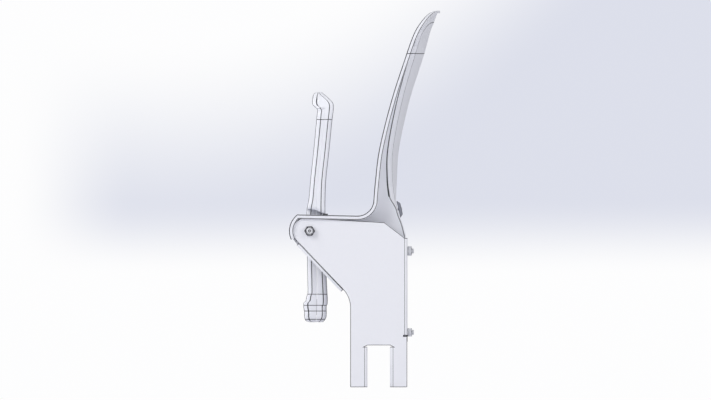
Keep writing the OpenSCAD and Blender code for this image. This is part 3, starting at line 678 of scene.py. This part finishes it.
# Fasteners: hexagons with chamfered corners, threaded ends, washers with broken edges
fasteners = {
    "rear": {"flats": 0.016, "thread": 0.005, "nut": 0.0084, "head": 0.0064, "end": 0.004,
        "washer": 0.011, "washerThick": 0.002, "x": 0.1963, "heights": (0.1839, 0.0252)},
    "pivot": {"flats": 0.018, "thread": 0.006, "nut": 0.0108, "head": 0.0075, "end": 0.0022,
        "washer": 0.012, "washerThick": 0.002},
    "chamfer": 30,  # degrees
    "faceShare": 0.97,  # of half the flats: where the chamfer starts
    "boreBreak": 0.0006,
    "fit": 0.0003,  # washer's bore round the thread
    "pitchShare": 0.17,  # thread pitch to thread diameter
    "threadDepth": 0.3,  # share of the pitch
    "threadShare": 0.99,  # of the shank's radius, so that the two don't meet
    "taper": 0.0008,  # last part of the thread, which narrows
    "dimple": (0.55, 0.9, 0.0005),  # rim's share of the end, floor's share of the rim, depth
    "edge": 0.0003,
    "segments": 72,
    # lines round a nut's foot, outer end and bore, at counts of hexProfile's rows, and their widths
    "nutLines": [(2.0, 0.2), (3.83, 1.73), (5.5, 1.0)],
    "boltLine": (0.0009, 0.0019),  # line in a bolt's dimple: distance from its rim, width
}
halfWedge = math.pi / 6  # from a hexagon's flat to its corner


def ringsToGrid(profile, phase=0.0, flats=None, turns=fasteners["segments"]):
    # Surface of turning (r, h): x' = r cos t, y' = r sin t, z' = h. A profile's third column, read
    # where flats is given, is 0 for a round ring, 1 for the hexagon's low ring, 2 for its high one
    t = np.linspace(0, 2 * math.pi, turns + 1)
    r, h = profile[:, :1], profile[:, 1:2]
    if flats is not None:
        # R(t) = (flats / 2) / cos(((t - phase + 30) mod 60) - 30), chamfer drops (R - face) tan a
        wedge = (t - phase + halfWedge) % (2 * halfWedge) - halfWedge
        reach = flats / 2 / np.cos(wedge)
        over = np.maximum(reach - flats / 2 * fasteners["faceShare"], 0)
        drop = over * math.tan(math.radians(fasteners["chamfer"]))
        ring = profile[:, 2:3]
        r = np.where(ring > 0, reach, r)
        h = np.where(ring > 0, h - np.sign(ring - 1.5) * drop, h)
    return asPoints(r * np.cos(t), r * np.sin(t), h)


def hexProfile(flats, height, bore=0):
    # Rows from the bore out along the foot, up the flats and back in; no bore closes the far end
    face, lip = flats / 2 * fasteners["faceShare"], fasteners["boreBreak"]
    rows = [(bore, 0, 0), (face, 0, 0), (flats / 2, 0, 1), (flats / 2, height, 2)]
    end = [(bore + lip, height, 0), (bore, height - lip, 0)] if bore else [(poleRadius, height, 0)]
    return np.array([*rows, (face, height, 0), *end], float)


def barProfile(radius, low, high):
    # A plain round bar, closed at both ends
    return np.array([(poleRadius, low), (radius, low), (radius, high), (poleRadius, high)])


def threadEnd(size):
    # r = R - d (1 + cos(2 pi z / pitch - t)) / 2, tapering at the end, which has a dimple
    radius, length = size["thread"] * fasteners["threadShare"], size["nut"] + size["end"]
    pitch = fasteners["pitchShare"] * 2 * radius
    steps = max(8, int(length / pitch * 10))
    z = np.linspace(0, length, steps)[:, None]
    t = np.linspace(0, 2 * math.pi, fasteners["segments"] + 1)
    depth = fasteners["threadDepth"] * pitch
    r = radius - depth * (1 + np.cos(2 * math.pi * z / pitch - t)) / 2
    r = np.minimum(r, radius - np.maximum(z - (length - fasteners["taper"]), 0))
    body = asPoints(r * np.cos(t), r * np.sin(t), z)
    rimShare, floorShare, sink = fasteners["dimple"]
    rim, floor, cap = (body[-1:].copy() for _ in range(3))
    rim[..., :2] *= rimShare
    floor[..., :2] *= rimShare * floorShare
    cap[..., :2] *= 0.01
    floor[..., 2] -= sink
    cap[..., 2] -= sink
    return np.concatenate([body, rim, floor, cap])


def turnedTo(place, at, axis):
    # Lays the local +Z along the axis named, then moves it to its place
    x, y, z = np.moveaxis(place, -1, 0)
    turned = {"+X": (z, x, y), "-X": (-z, -x, y), "+Y": (y, z, x), "-Y": (-y, -z, x)}[axis]
    return np.stack(turned, axis=-1) + np.asarray(at)


def latheMesh(name, grids, mat, body, node, bevel=0.0, counted=False):
    # counted: the flow along counts the profile's rows instead of metres
    flows = [flowOf(place) for place in grids]
    if counted:
        for flow in flows:
            flow[..., 1] = np.arange(len(flow))[:, None]
    obj = meshFromGrids(name, [(place, flow, False) for place, flow in zip(grids, flows)], mat,
        merge=2e-6)
    turnOutward(obj.data)
    if bevel:
        roundEdges(obj, bevel, 2, 40)
    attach(obj, body)
    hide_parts(node)
    return obj


# Seat: an upper moulding with the front lip, and an underside cover, parted along the side
seat = {
    "length": 0.4485,
    "tail": 0.1778,  # length behind the pivot
    "crown": 0.0472,  # unit of the three tables below
    "sideGap": 0.004,  # seat's side inside the arms' outer faces
    "waistGap": 0.0045,
    "shoulderHeight": 0.034,  # where the waist widens, above the pivot
    "sweep": 0.0425,  # clearance round the arm's nose
    "sweepFade": 0.03,
    "frontCorner": 0.053,
    "rearCorner": 0.014,
    "shoulderCorner": 0.009,
    "edgeRadius": 0.0085,
    "edgeShare": 0.42,  # of the thickness, which the edges' radius stays within
    "wall": 0.0032,
    "edge": 0.0005,
    "gap": 0.0005,
    "partClear": 0.001,  # from the parting to either edge's rounding
    "dish": 0.005,
    "dishPower": 2.5,
    "dishRun": (.13, .3, .82, .93),  # shares of the length where it starts, is full, fades, ends
    "recess": 0.0012,
    "recessRun": (.17, .18, .872, .882),
    "recessSide": (.032, .028),  # in from the waist's side, where it is full and where it starts
    "lipShare": 0.932,
    "headRadius": 0.0044,
    "headRise": 0.0012,
    "headSink": 0.0016,
    "headSkirt": 0.0022,
    "socket": (0.62, 0.0014, 0.0001),  # rim's share of the head's radius, its height, the floor's
    "socketShare": 0.95,
    "counterbore": (0.0006, -0.01, 0.012),  # wider than the head, and from and to along it
    "screws": [  # shares of the half width and of the length
        (0.88, 0.54), (0.88, 0.79), (0.32, 0.84), (0.86, 0.21)],
    "bossRadius": 0.017,
    "bossClear": 0.0193,
    "bossLength": 0.020,
    "bossRound": 0.0015,
    "bossFit": (0.0004, 0.0003),  # flange inside the cover's opening, and outside the seat's side
    "bossBreak": (0.0008, 0.0006),  # the flange's broken edge, in radius and in length
    "bossFoot": [(0.0012, 0.0002), (0, 0.0015)],  # barrel's foot: past its radius and the wall
    "bossEdge": 0.0004,
    "bore": 0.0081,
    "openFrom": 0.1342,
    "openLength": 0.042,
    "lines": (0.881, 0.1216, 0.0733, 0.0484, 0.0125),  # shares of the length where lines cross it
    "lineWidth": 0.0013,
    # share of the length and height from the pivot, of the sitting face, the underside, the parting
    "sit": [(.002, .561), (.010, .640), (.024, .695), (.035, .703), (.072, .703), (.077, .735),
        (.098, .748), (.124, .735), (.201, .699), (.340, .670), (.472, .648), (.531, .648),
        (.618, .680), (.749, .814), (.864, .922), (.910, .975), (.934, 1.0), (.946, .990),
        (.957, .945), (.977, .756), (.999, .513)],
    "under": [(0, 0), (.003, -.121), (.009, -.178), (.021, -.218), (.044, -.222), (.062, -.252),
        (.084, -.248), (.092, -.169), (.114, -.127), (.125, -.083), (.166, -.083),
        (.288, -.108), (.396, -.140), (.469, -.120), (.531, -.042), (.618, .030),
        (.749, .161), (.905, .301), (.926, .310), (.946, .125), (.978, .125), (.992, .170),
        (1, .260)],
    "parting": [(-.05, .27), (.16, .31), (.42, .27), (.60, .34), (.80, .56), (.895, .64),
        (.935, .62), (1.05, .62)],
}
seatHalf = halfW - seat["sideGap"]
waistHalf = cheekX - seat["waistGap"]


def seatHeight(table, s):
    return seat["crown"] * curveThrough(seat[table], 1, s)


def seatReach(s):
    return s * seat["length"] - seat["tail"]


def cornerDraw(depth, radius):
    # how far a plan corner of this radius draws in: r - sqrt(r^2 - (r - d)^2)
    d = np.clip(depth, 0, radius)
    return radius - np.sqrt(np.maximum(radius ** 2 - (radius - d) ** 2, 0))


def seatHalfWidth(s, wide):
    b = seatReach(s)
    front = seatHalf - cornerDraw(seat["length"] - seat["tail"] - b, seat["frontCorner"])
    front -= cornerDraw(b - seat["shoulderHeight"], seat["shoulderCorner"])
    rear = waistHalf - cornerDraw(b + seat["tail"], seat["rearCorner"])
    return np.where(wide, front, rear)


def seatStations():
    # Shares of the length, close together at the tables' bends, at the shoulder and at both ends
    turn = (seat["tail"] + seat["shoulderHeight"]) / seat["length"]
    marks = [0, .001, .003, .006, .010, .016, .024, .035, .044, .053, .062, .068, .072, .077,
        .084, .088, .092, .098, .106, .114, .125]
    rear = np.concatenate([marks, np.linspace(.135, turn, 32)])
    shoulder = turn + np.array([.0008, .0014, .0025, .004, .007, .011, .015, .020, .03])
    edge = 1 - .07 * np.cos(np.linspace(0, math.pi / 2, 26)) + .001
    front = np.concatenate([shoulder, np.linspace(turn + .04, .86, 30), np.linspace(.87, .93, 14),
        edge[1:-1], [1.0]])
    s = np.concatenate([rear, front])
    return np.minimum(s, 1), np.arange(len(s)) >= len(rear)


def seatRings():
    # Each ring: underside from the middle out, edge, side up, edge, sitting face back to the middle
    s, wide = seatStations()
    half = seatHalfWidth(s, wide)
    low = seatHeight("under", s)
    high = seatHeight("sit", np.maximum(s, seat["sit"][0][0]))
    radius = np.minimum(seat["edgeRadius"], (high - low) * seat["edgeShare"])
    clear = radius + seat["partClear"]
    part = np.clip(seatHeight("parting", s), low + clear, high - clear)
    out = 1 - (1 - np.linspace(0, 1, 30)) ** 1.15
    turn = np.linspace(0, math.pi / 2, 8)[1:]
    flat, bend = len(out), len(turn)
    middle = flat + bend  # the parting's column
    half, low, high, radius, part = (v[:, None] for v in (half, low, high, radius, part))
    x0 = (half - radius) * out
    x1 = (half - radius) + radius * np.sin(turn)
    x = np.concatenate([x0, x1, half, x1[:, ::-1], x0[:, ::-1]], axis=1)
    down = (low + radius) - radius * np.cos(turn)
    up = (high - radius) + radius * np.cos(turn[::-1])
    low, high = low.repeat(flat, axis=1), high.repeat(flat, axis=1)
    a = np.concatenate([low, down, part, up, high], axis=1)
    b = seatReach(s)[:, None]
    # dish of the sitting face and shallow field of the underside
    column = np.arange(x.shape[1])[None, :]
    across = np.clip(x / (half - radius), 0, 1)
    hollow = seat["dish"] * (1 - across ** seat["dishPower"]) * plateau(s, seat["dishRun"])[:, None]
    a -= (column > middle + bend) * hollow
    inside = 1 - smooth(x, *(waistHalf - side for side in seat["recessSide"]))
    a += (column < flat) * seat["recess"] * inside * plateau(s, seat["recessRun"])[:, None]
    # round the arm's nose: shoulders rise to b = sqrt(sweep^2 - a^2), fading out above and below
    shoulder = seat["shoulderHeight"]
    arc = np.sqrt(np.maximum(seat["sweep"] ** 2 - a ** 2, shoulder ** 2))
    b = b + (arc - shoulder) * (1 - np.clip(np.abs(b - shoulder) / seat["sweepFade"], 0, 1))
    # flow across: 0 at the parting, 1 to 2 over each edge's rounding, then on by 1 per 10 mm
    side = np.concatenate([[0], np.linspace(1, 2, bend + 1),
        2 + np.abs(np.diff(x0[len(s) // 2]))[::-1].cumsum() / 0.01])
    across = np.concatenate([-side[:0:-1], side])
    flow = asPoints(across, (s * seat["length"])[:, None])
    return s, asPoints(x, pivot[1] + a, pivot[2] + b), flow, middle


def seatPiece(name, node, grids, mat):
    both = []
    for place, flow, flipped in grids:
        both += [(place, flow, flipped), (mirrorX(place), flow, not flipped)]
    obj = meshFromGrids(name, both, mat)
    addModifier(obj, "SOLIDIFY", thickness=seat["wall"], offset=-1.0)
    roundEdges(obj, seat["edge"], 2, 60)
    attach(obj, "seat")
    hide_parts(node)
    return obj


def screwSpots():
    # Each screw's place on the underside, on both sides of the seat
    for share, s in seat["screws"]:
        b = seatReach(s)
        half = seatHalf if b > seat["shoulderHeight"] else waistHalf
        a = float(seatHeight("under", np.array([s]))[0])
        for side in (-1, 1):
            yield side * share * half, pivot[1] + a, pivot[2] + b


def cutUnder(obj):
    # Counterbores for the screws and a round opening at each pivot boss, cut through the cover
    wider, low, high = seat["counterbore"]
    bore = ringsToGrid(barProfile(seat["headRadius"] + wider, low, high), turns=40)
    opening = ringsToGrid(barProfile(seat["bossClear"], 0, seat["openLength"]), turns=40)
    cutters = [turnedTo(bore, spot, "+Y") for spot in screwSpots()]
    for side, axis in ((1, "+X"), (-1, "-X")):
        cutters.append(turnedTo(opening, (side * seat["openFrom"], pivot[1], pivot[2]), axis))
    cutter = meshFromGrids("underCutter", [(place, flowOf(place), False) for place in cutters],
        underPlastic, merge=2e-5)
    turnOutward(cutter.data)
    cutter.hide_render = True
    cutter.hide_viewport = True
    addModifier(obj, "BOOLEAN", operation="DIFFERENCE", object=cutter, solver="EXACT")
    obj.modifiers.move(len(obj.modifiers) - 1, 1)  # before the bevel


def makeSeatScrews():
    # Pan heads: r = radius - rise (1 - cos t), z = rise sin t, then a flat with a hexagon socket
    radius, rise = seat["headRadius"], seat["headRise"]
    turn = np.linspace(0, math.pi / 2, 7)
    dome = asPoints(radius - rise * (1 - np.cos(turn)), rise * np.sin(turn))
    skirt, (rim, top, floor) = seat["headSkirt"], seat["socket"]
    head = np.concatenate([[(poleRadius, -skirt), (radius, -skirt)], dome, [(radius * rim, top)]])
    socket = np.array([(0, top, 2), (0, floor, 2), (poleRadius, -floor, 0)])
    screw = np.concatenate([ringsToGrid(head, turns=48),
        ringsToGrid(socket, flats=radius * seat["socketShare"], turns=48)])
    grids = [turnedTo(screw, (x, y + seat["headSink"], z), "-Y") for x, y, z in screwSpots()]
    latheMesh("seatScrews", grids, darkSteel, "seat", "seat_screws")


def makeBosses():
    # Round boss at each pivot: a flange at the seat's side, a barrel inward, a rounded inner end
    r, reach, wall, bore = (seat[k] for k in ("bossRadius", "bossLength", "wall", "bore"))
    turn = np.linspace(0, math.pi / 2, 6)
    end = asPoints(r - seat["bossRound"] * (1 - np.sin(turn)),
        reach - seat["bossRound"] * (1 - np.cos(turn)))
    (inside, outside), (broken, high) = seat["bossFit"], seat["bossBreak"]
    flange = seat["bossClear"] - inside
    profile = np.concatenate([[(bore, 0), (flange - broken, 0), (flange, high), (flange, wall)],
        [(r + past, wall + up) for past, up in seat["bossFoot"]], end[::-1],
        [(bore, reach), (bore, 0)]])
    side = waistHalf + outside
    grids = [turnedTo(ringsToGrid(profile), (x, pivot[1], pivot[2]), axis)
        for x, axis in ((side, "-X"), (-side, "+X"))]
    obj = latheMesh("pivotBosses", grids, seatPlastic, "seat", "seat_top",
        seat["bossEdge"])
    blankLoops(obj.data)


def makeSeat():
    # Cut along the parting's column and at the lip, with a strip closing each cut's end
    s, rings, flow, middle = seatRings()
    lip = int(np.searchsorted(s, seat["lipShare"]))
    gap = seat["gap"]
    under, upper = rings[:, :middle + 1], rings[:, middle:]
    underFlow, upperFlow = flow[:, :middle + 1], flow[:, middle:]
    lower = under[:lip].copy()
    lower[:, -1, 1] -= gap
    lower[-1, :, 2] -= gap
    rearLow = np.stack([under[0], under[0]], axis=1)
    rearLow[:, 0, 1] = upper[0, 0, 1] - gap
    rearLow[-1, :, 1] -= gap
    rearHigh = np.stack([upper[0], upper[0]], axis=1)
    rearHigh[:, 1, 1] = upper[0, 0, 1]
    front = np.stack([under[-1], upper[-1][::-1]], axis=1)
    cover = seatPiece("seatUnderside", "seat_underside",
        [(lower, underFlow[:lip], False), (rearLow, blankFlow(rearLow), True)], underPlastic)
    seatPiece("seatTop", "seat_top", [(upper, upperFlow, False),
        (under[lip:], underFlow[lip:], False), (rearHigh, blankFlow(rearHigh), False),
        (front, blankFlow(front), False)], seatPlastic)
    cutUnder(cover)
    makeSeatScrews()
    makeBosses()


edgeMarks = [(-1.0, 0.15), (-1.82, 0.26)]  # lines beside the lower edge's rounding
seatCross = [(share * seat["length"], seat["lineWidth"]) for share in seat["lines"]]
seatPlastic = makePlastic("seatPlastic", finish["pale"], finish["deep"],
    marks=edgeMarks + [(-mark, width) for mark, width in edgeMarks], cross=seatCross)
underPlastic = makePlastic("underPlastic", finish["pale"], finish["deep"], marks=edgeMarks,
    cross=seatCross)
makeSeat()
print("seat made")


# Lugs that hold the buffers under the lowered seat, and raised seats for the rear washers
lugs = {
    "reach": 0.030,
    "thick": 0.009,
    "length": 0.024,
    "above": 0.0365,  # lug's face from the pivot, square to the lowered seat
    "along": -0.1538,
    "turned": 82,  # degrees from folded to lowered
    "power": 5,  # how square the lug's ring is
    "round": 0.0015,
    "flare": 0.0025,
    "flareRun": (0.007, 0.002),  # how far from the cheek it starts and is full
    "earRadius": 0.0145,
    "earFoot": 0.0030,
    "earFit": 0.0004,
    "earSink": 0.0004,
}


def lugGrids(opts):
    # Ring: |a / half a|^p + |b / half b|^p = 1, drawn in at the free end and flared at the cheek
    t = np.linspace(0, 2 * math.pi, 65)
    squared = [np.sign(f(t)) * np.abs(f(t)) ** (2 / opts["power"]) for f in (np.cos, np.sin)]
    reach, tip = opts["reach"] + back["wall"] / 2, opts["round"]
    depth = np.concatenate([[0], np.linspace(0, tip, 5), np.linspace(tip, reach, 30)[1:]])
    flare = opts["flare"] * smooth(depth, *(reach - run for run in opts["flareRun"])) ** 2
    grow = flare - cornerDraw(depth, tip)
    halfA, halfB = opts["thick"] / 2 + grow, opts["length"] / 2 + grow
    halfA[0] = halfB[0] = poleRadius
    a = opts["above"] + opts["thick"] / 2 + halfA[:, None] * squared[0]
    b = opts["along"] + halfB[:, None] * squared[1]
    angle = math.radians(opts["turned"])
    y = pivot[1] + a * math.cos(angle) - b * math.sin(angle)
    z = pivot[2] + a * math.sin(angle) + b * math.cos(angle)
    x = (cheekX - opts["reach"] + depth)[:, None]
    return [asPoints(side * x, y, z) for side in (-1, 1)]


def earGrids(opts):
    # Raised disc: r = radius + foot (1 - sin t), h = rise (1 - cos t), with a bore for the bolt
    rear = fasteners["rear"]
    foot = back["tailBack"] - back["wall"] + opts["earSink"]
    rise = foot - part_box("rear_washers")[1].y
    turn = np.linspace(0, math.pi / 2, 6)
    skirt = asPoints(opts["earRadius"] + opts["earFoot"] * (1 - np.sin(turn)),
        rise * (1 - np.cos(turn)))
    bore = rear["thread"] + opts["earFit"]
    disc = ringsToGrid(np.concatenate([skirt, [(bore, rise), (bore, 0)]]))
    return [turnedTo(disc, (side * rear["x"], foot, height), "-Y")
        for side in (-1, 1) for height in rear["heights"]]


stopLugs = latheMesh("stopLugs", lugGrids(lugs) + earGrids(lugs), backPlastic, "frame",
    "back_shell")
blankLoops(stopLugs.data)
print("lugs made")


# Brackets keep their CAD shape, with every sheared edge broken and darkened
edgeBreaks = {  # node: (width of the broken edge, darkened or not)
    "bracket_left": (0.0011, True), "bracket_right": (0.0011, True),
    "stop_pads": (0.0004, False), "stop_buffers": (0.0006, False),
    "number_plate": (0.0009, True), "pivot_bushes": (0.0003, False),
    "thrust_washers": (0.0003, False), "counterweight": (0.0025, False),
}
for name, (width, inked) in edgeBreaks.items():
    addModifier(nodes[name], "WELD", merge_threshold=1e-6)
    addModifier(nodes[name], "DECIMATE", decimate_type="DISSOLVE", angle_limit=math.radians(0.5))
    roundEdges(nodes[name], width, 2, 40, inked=inked, clamped=False)


def boltFinish(name, size):
    # a ring in the threaded end, from the dimple's rim inward
    inward, width = fasteners["boltLine"]
    return makeZinc(name, [(flowOf(threadEnd(size))[-3, 0, 1] + inward, width)])


def fastenerGrids(size, foot, head, axis, other, nutPhase, headPhase):
    # One nut standing at foot along the axis, its bolt with the head the other way, and its washer
    flats, thread, wide, thick = (size[k] for k in ("flats", "thread", "washer", "washerThick"))
    apart = np.abs(np.subtract(foot, head)).max()
    bore = thread + fasteners["fit"]
    nut = ringsToGrid(hexProfile(flats, size["nut"], thread), nutPhase, flats)
    shank = ringsToGrid(np.array([(thread, -apart - 0.001), (thread, 0)]))
    cap = ringsToGrid(hexProfile(flats, size["head"]), headPhase, flats)
    ring = ringsToGrid(np.array([(bore, 0), (wide, 0), (wide, thick), (bore, thick), (bore, 0)]))
    return ([turnedTo(nut, foot, axis)], [turnedTo(threadEnd(size), foot, axis),
        turnedTo(shank, foot, axis), turnedTo(cap, head, other)], [turnedTo(ring, head, axis)])


def makeFasteners(names, mats, sets):
    # names and materials of the nuts, the bolts and the washers
    nodeNames = {"rearNuts": "rear_nuts", "rearBolts": "rear_bolts", "rearWashers": "rear_washers",
        "pivotNuts": "pivot_nuts", "pivotBolts": "pivot_bolts", "headWashers": "head_washers"}
    for name, mat, grids in zip(names, mats, zip(*sets)):
        latheMesh(name, sum(grids, []), mat, "frame", nodeNames[name],
            0.0 if "Bolts" in name else fasteners["edge"], counted="Nuts" in name)


nutZinc = makeZinc("nutZinc", fasteners["nutLines"])
rear, axle = fasteners["rear"], fasteners["pivot"]
nutY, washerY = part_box("rear_nuts")[0].y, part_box("rear_washers")[0].y
makeFasteners(("rearNuts", "rearBolts", "rearWashers"), (nutZinc, zinc, zinc), [
    fastenerGrids(rear, (side * rear["x"], nutY, height), (side * rear["x"], washerY, height),
        "+Y", "-Y", phase, phase)
    for side in (-1, 1) for height, phase in zip(rear["heights"], (halfWedge, 0.0))])
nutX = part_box("pivot_nuts")[1].x - axle["nut"]
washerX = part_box("head_washers")[1].x - axle["washerThick"]
makeFasteners(("pivotNuts", "pivotBolts", "headWashers"),
    (nutZinc, boltFinish("pivotBoltZinc", axle), zinc), [
    fastenerGrids(axle, (side * nutX, pivot[1], pivot[2]), (side * washerX, pivot[1], pivot[2]),
        axis, other, halfWedge, 0.0)
    for side, axis, other in ((1, "+X", "-X"), (-1, "-X", "+X"))])
print("fasteners made")


# Lights, floor and backdrop
stage = {
    "backdropX": -4.0,
    "backdropSize": 9.0,
    "backdropFoot": -1.0,
    "white": (0.985, 0.985, 0.99),
    "haze": (0.72, 0.74, 0.83),  # lavender of the backdrop
    "hazeFoot": (0.135, 0.29),  # heights between which the lavender haze comes in
    "hazeLeft": (-0.72, -0.47),  # and the same across, from the left
    "hazeRim": (0.53, 0.55, 0.60),  # its upper rim: h = a + b y + c y^2
    "hazeFade": 0.2,
    "air": (0.93, 0.935, 0.96),  # what the camera sees beyond the floor
    "roomLight": (0.93, 0.94, 0.98),
    "roomStrength": 0.5,
    "floorHalf": 6,
    "floorTone": (0.80, 0.80, 0.84),
    "floorLift": 0.3,
    "aim": (0, 0, 0.3),
    "lamps": [  # name, place, size, power
        ("keyLamp", (3.0, -2.6, 2.2), 2.6, 65), ("fillLamp", (2.6, 2.4, 1.4), 2.2, 26),
        ("frontLamp", (-0.6, -3.2, 1.6), 2.4, 30), ("topLamp", (0.2, 0.2, 3.4), 2.4, 16)],
}


def stageSheet(name, corners):
    mesh = bpy.data.meshes.new(name)
    mesh.from_pydata(corners, [], [(0, 1, 2, 3)])
    mat, tree, bsdf = newMaterial(name)
    mesh.materials.append(mat)
    addObject(name, mesh)
    return tree, bsdf


def cameraRay(tree):
    return addNode(tree, "LightPath").outputs["Is Camera Ray"]


def showToCamera(tree, other, seen, output):
    # The camera sees one shader, and every other ray meets the other
    mix = addNode(tree, "MixShader", {0: cameraRay(tree), 1: other.outputs[0],
        2: seen.outputs[0]})
    feed(tree, tree.nodes[output], {"Surface": mix.outputs[0]})


def smoothRamp(tree, value, low, high):
    return addNode(tree, "MapRange", {"Value": value, "From Min": low, "From Max": high},
        interpolation_type="SMOOTHSTEP").outputs[0]


def makeBackdrop(opts):
    # Seen by the camera alone:
    # haze = smooth(z, foot) * smooth(y, left) * (1 - smooth(z - h(y), fade))
    x, half, low = opts["backdropX"], opts["backdropSize"] / 2, opts["backdropFoot"]
    tree, _ = stageSheet("backdrop",
        [(x, -half, low), (x, half, low), (x, half, half), (x, -half, half)])
    _, acrossY, upZ = splitVector(tree, objectVector(tree))
    level, slope, curve = opts["hazeRim"]
    lean = mathNode(tree, "MULTIPLY_ADD", acrossY, curve, slope)
    rim = mathNode(tree, "MULTIPLY_ADD", acrossY, lean, level)
    fade = opts["hazeFade"]
    mask = mathNode(tree, "MULTIPLY", smoothRamp(tree, upZ, *opts["hazeFoot"]),
        smoothRamp(tree, mathNode(tree, "SUBTRACT", upZ, rim), fade, -fade))
    mask = mathNode(tree, "MULTIPLY", mask, smoothRamp(tree, acrossY, *opts["hazeLeft"]))
    glow = addNode(tree, "Emission", {"Color": mixColour(tree, mask, opts["white"], opts["haze"])})
    showToCamera(tree, addNode(tree, "BsdfTransparent"), glow, "Material Output")


def makeRoom(opts):
    world = bpy.data.worlds.new("room")
    bpy.context.scene.world = world
    world.use_nodes = True
    tree = world.node_tree
    lit = tree.nodes["Background"]
    feed(tree, lit, {"Color": opts["roomLight"], "Strength": opts["roomStrength"]})
    showToCamera(tree, lit, addNode(tree, "Background", {"Color": opts["air"]}), "World Output")
    for name, place, size, power in opts["lamps"]:
        lamp = bpy.data.lights.new(name, "AREA")
        lamp.size = size
        lamp.energy = power
        obj = addObject(name, lamp)
        obj.location = place
        aim = Vector(opts["aim"]) - Vector(place)
        obj.rotation_euler = aim.to_track_quat("-Z", "Y").to_euler()


def makeFloor(opts):
    # A slow cloud in the colour, lifted towards white where the camera sees it
    half, z = opts["floorHalf"], float(plateLow.z)
    tree, bsdf = stageSheet("floor",
        [(-half, -half, z), (half, -half, z), (half, half, z), (-half, half, z)])
    cloud = noiseNode(tree, objectVector(tree), 1.5)
    dark = tuple(c * 0.97 for c in opts["floorTone"])
    feed(tree, bsdf, {"Base Color": mixColour(tree, cloud, dark, opts["floorTone"]),
        "Roughness": 0.8, "Emission Color": opts["air"],
        "Emission Strength": mathNode(tree, "MULTIPLY", cameraRay(tree), opts["floorLift"])})


makeBackdrop(stage)
makeRoom(stage)
makeFloor(stage)
print("stage set")
bpy.context.scene.view_settings.view_transform = "Standard"
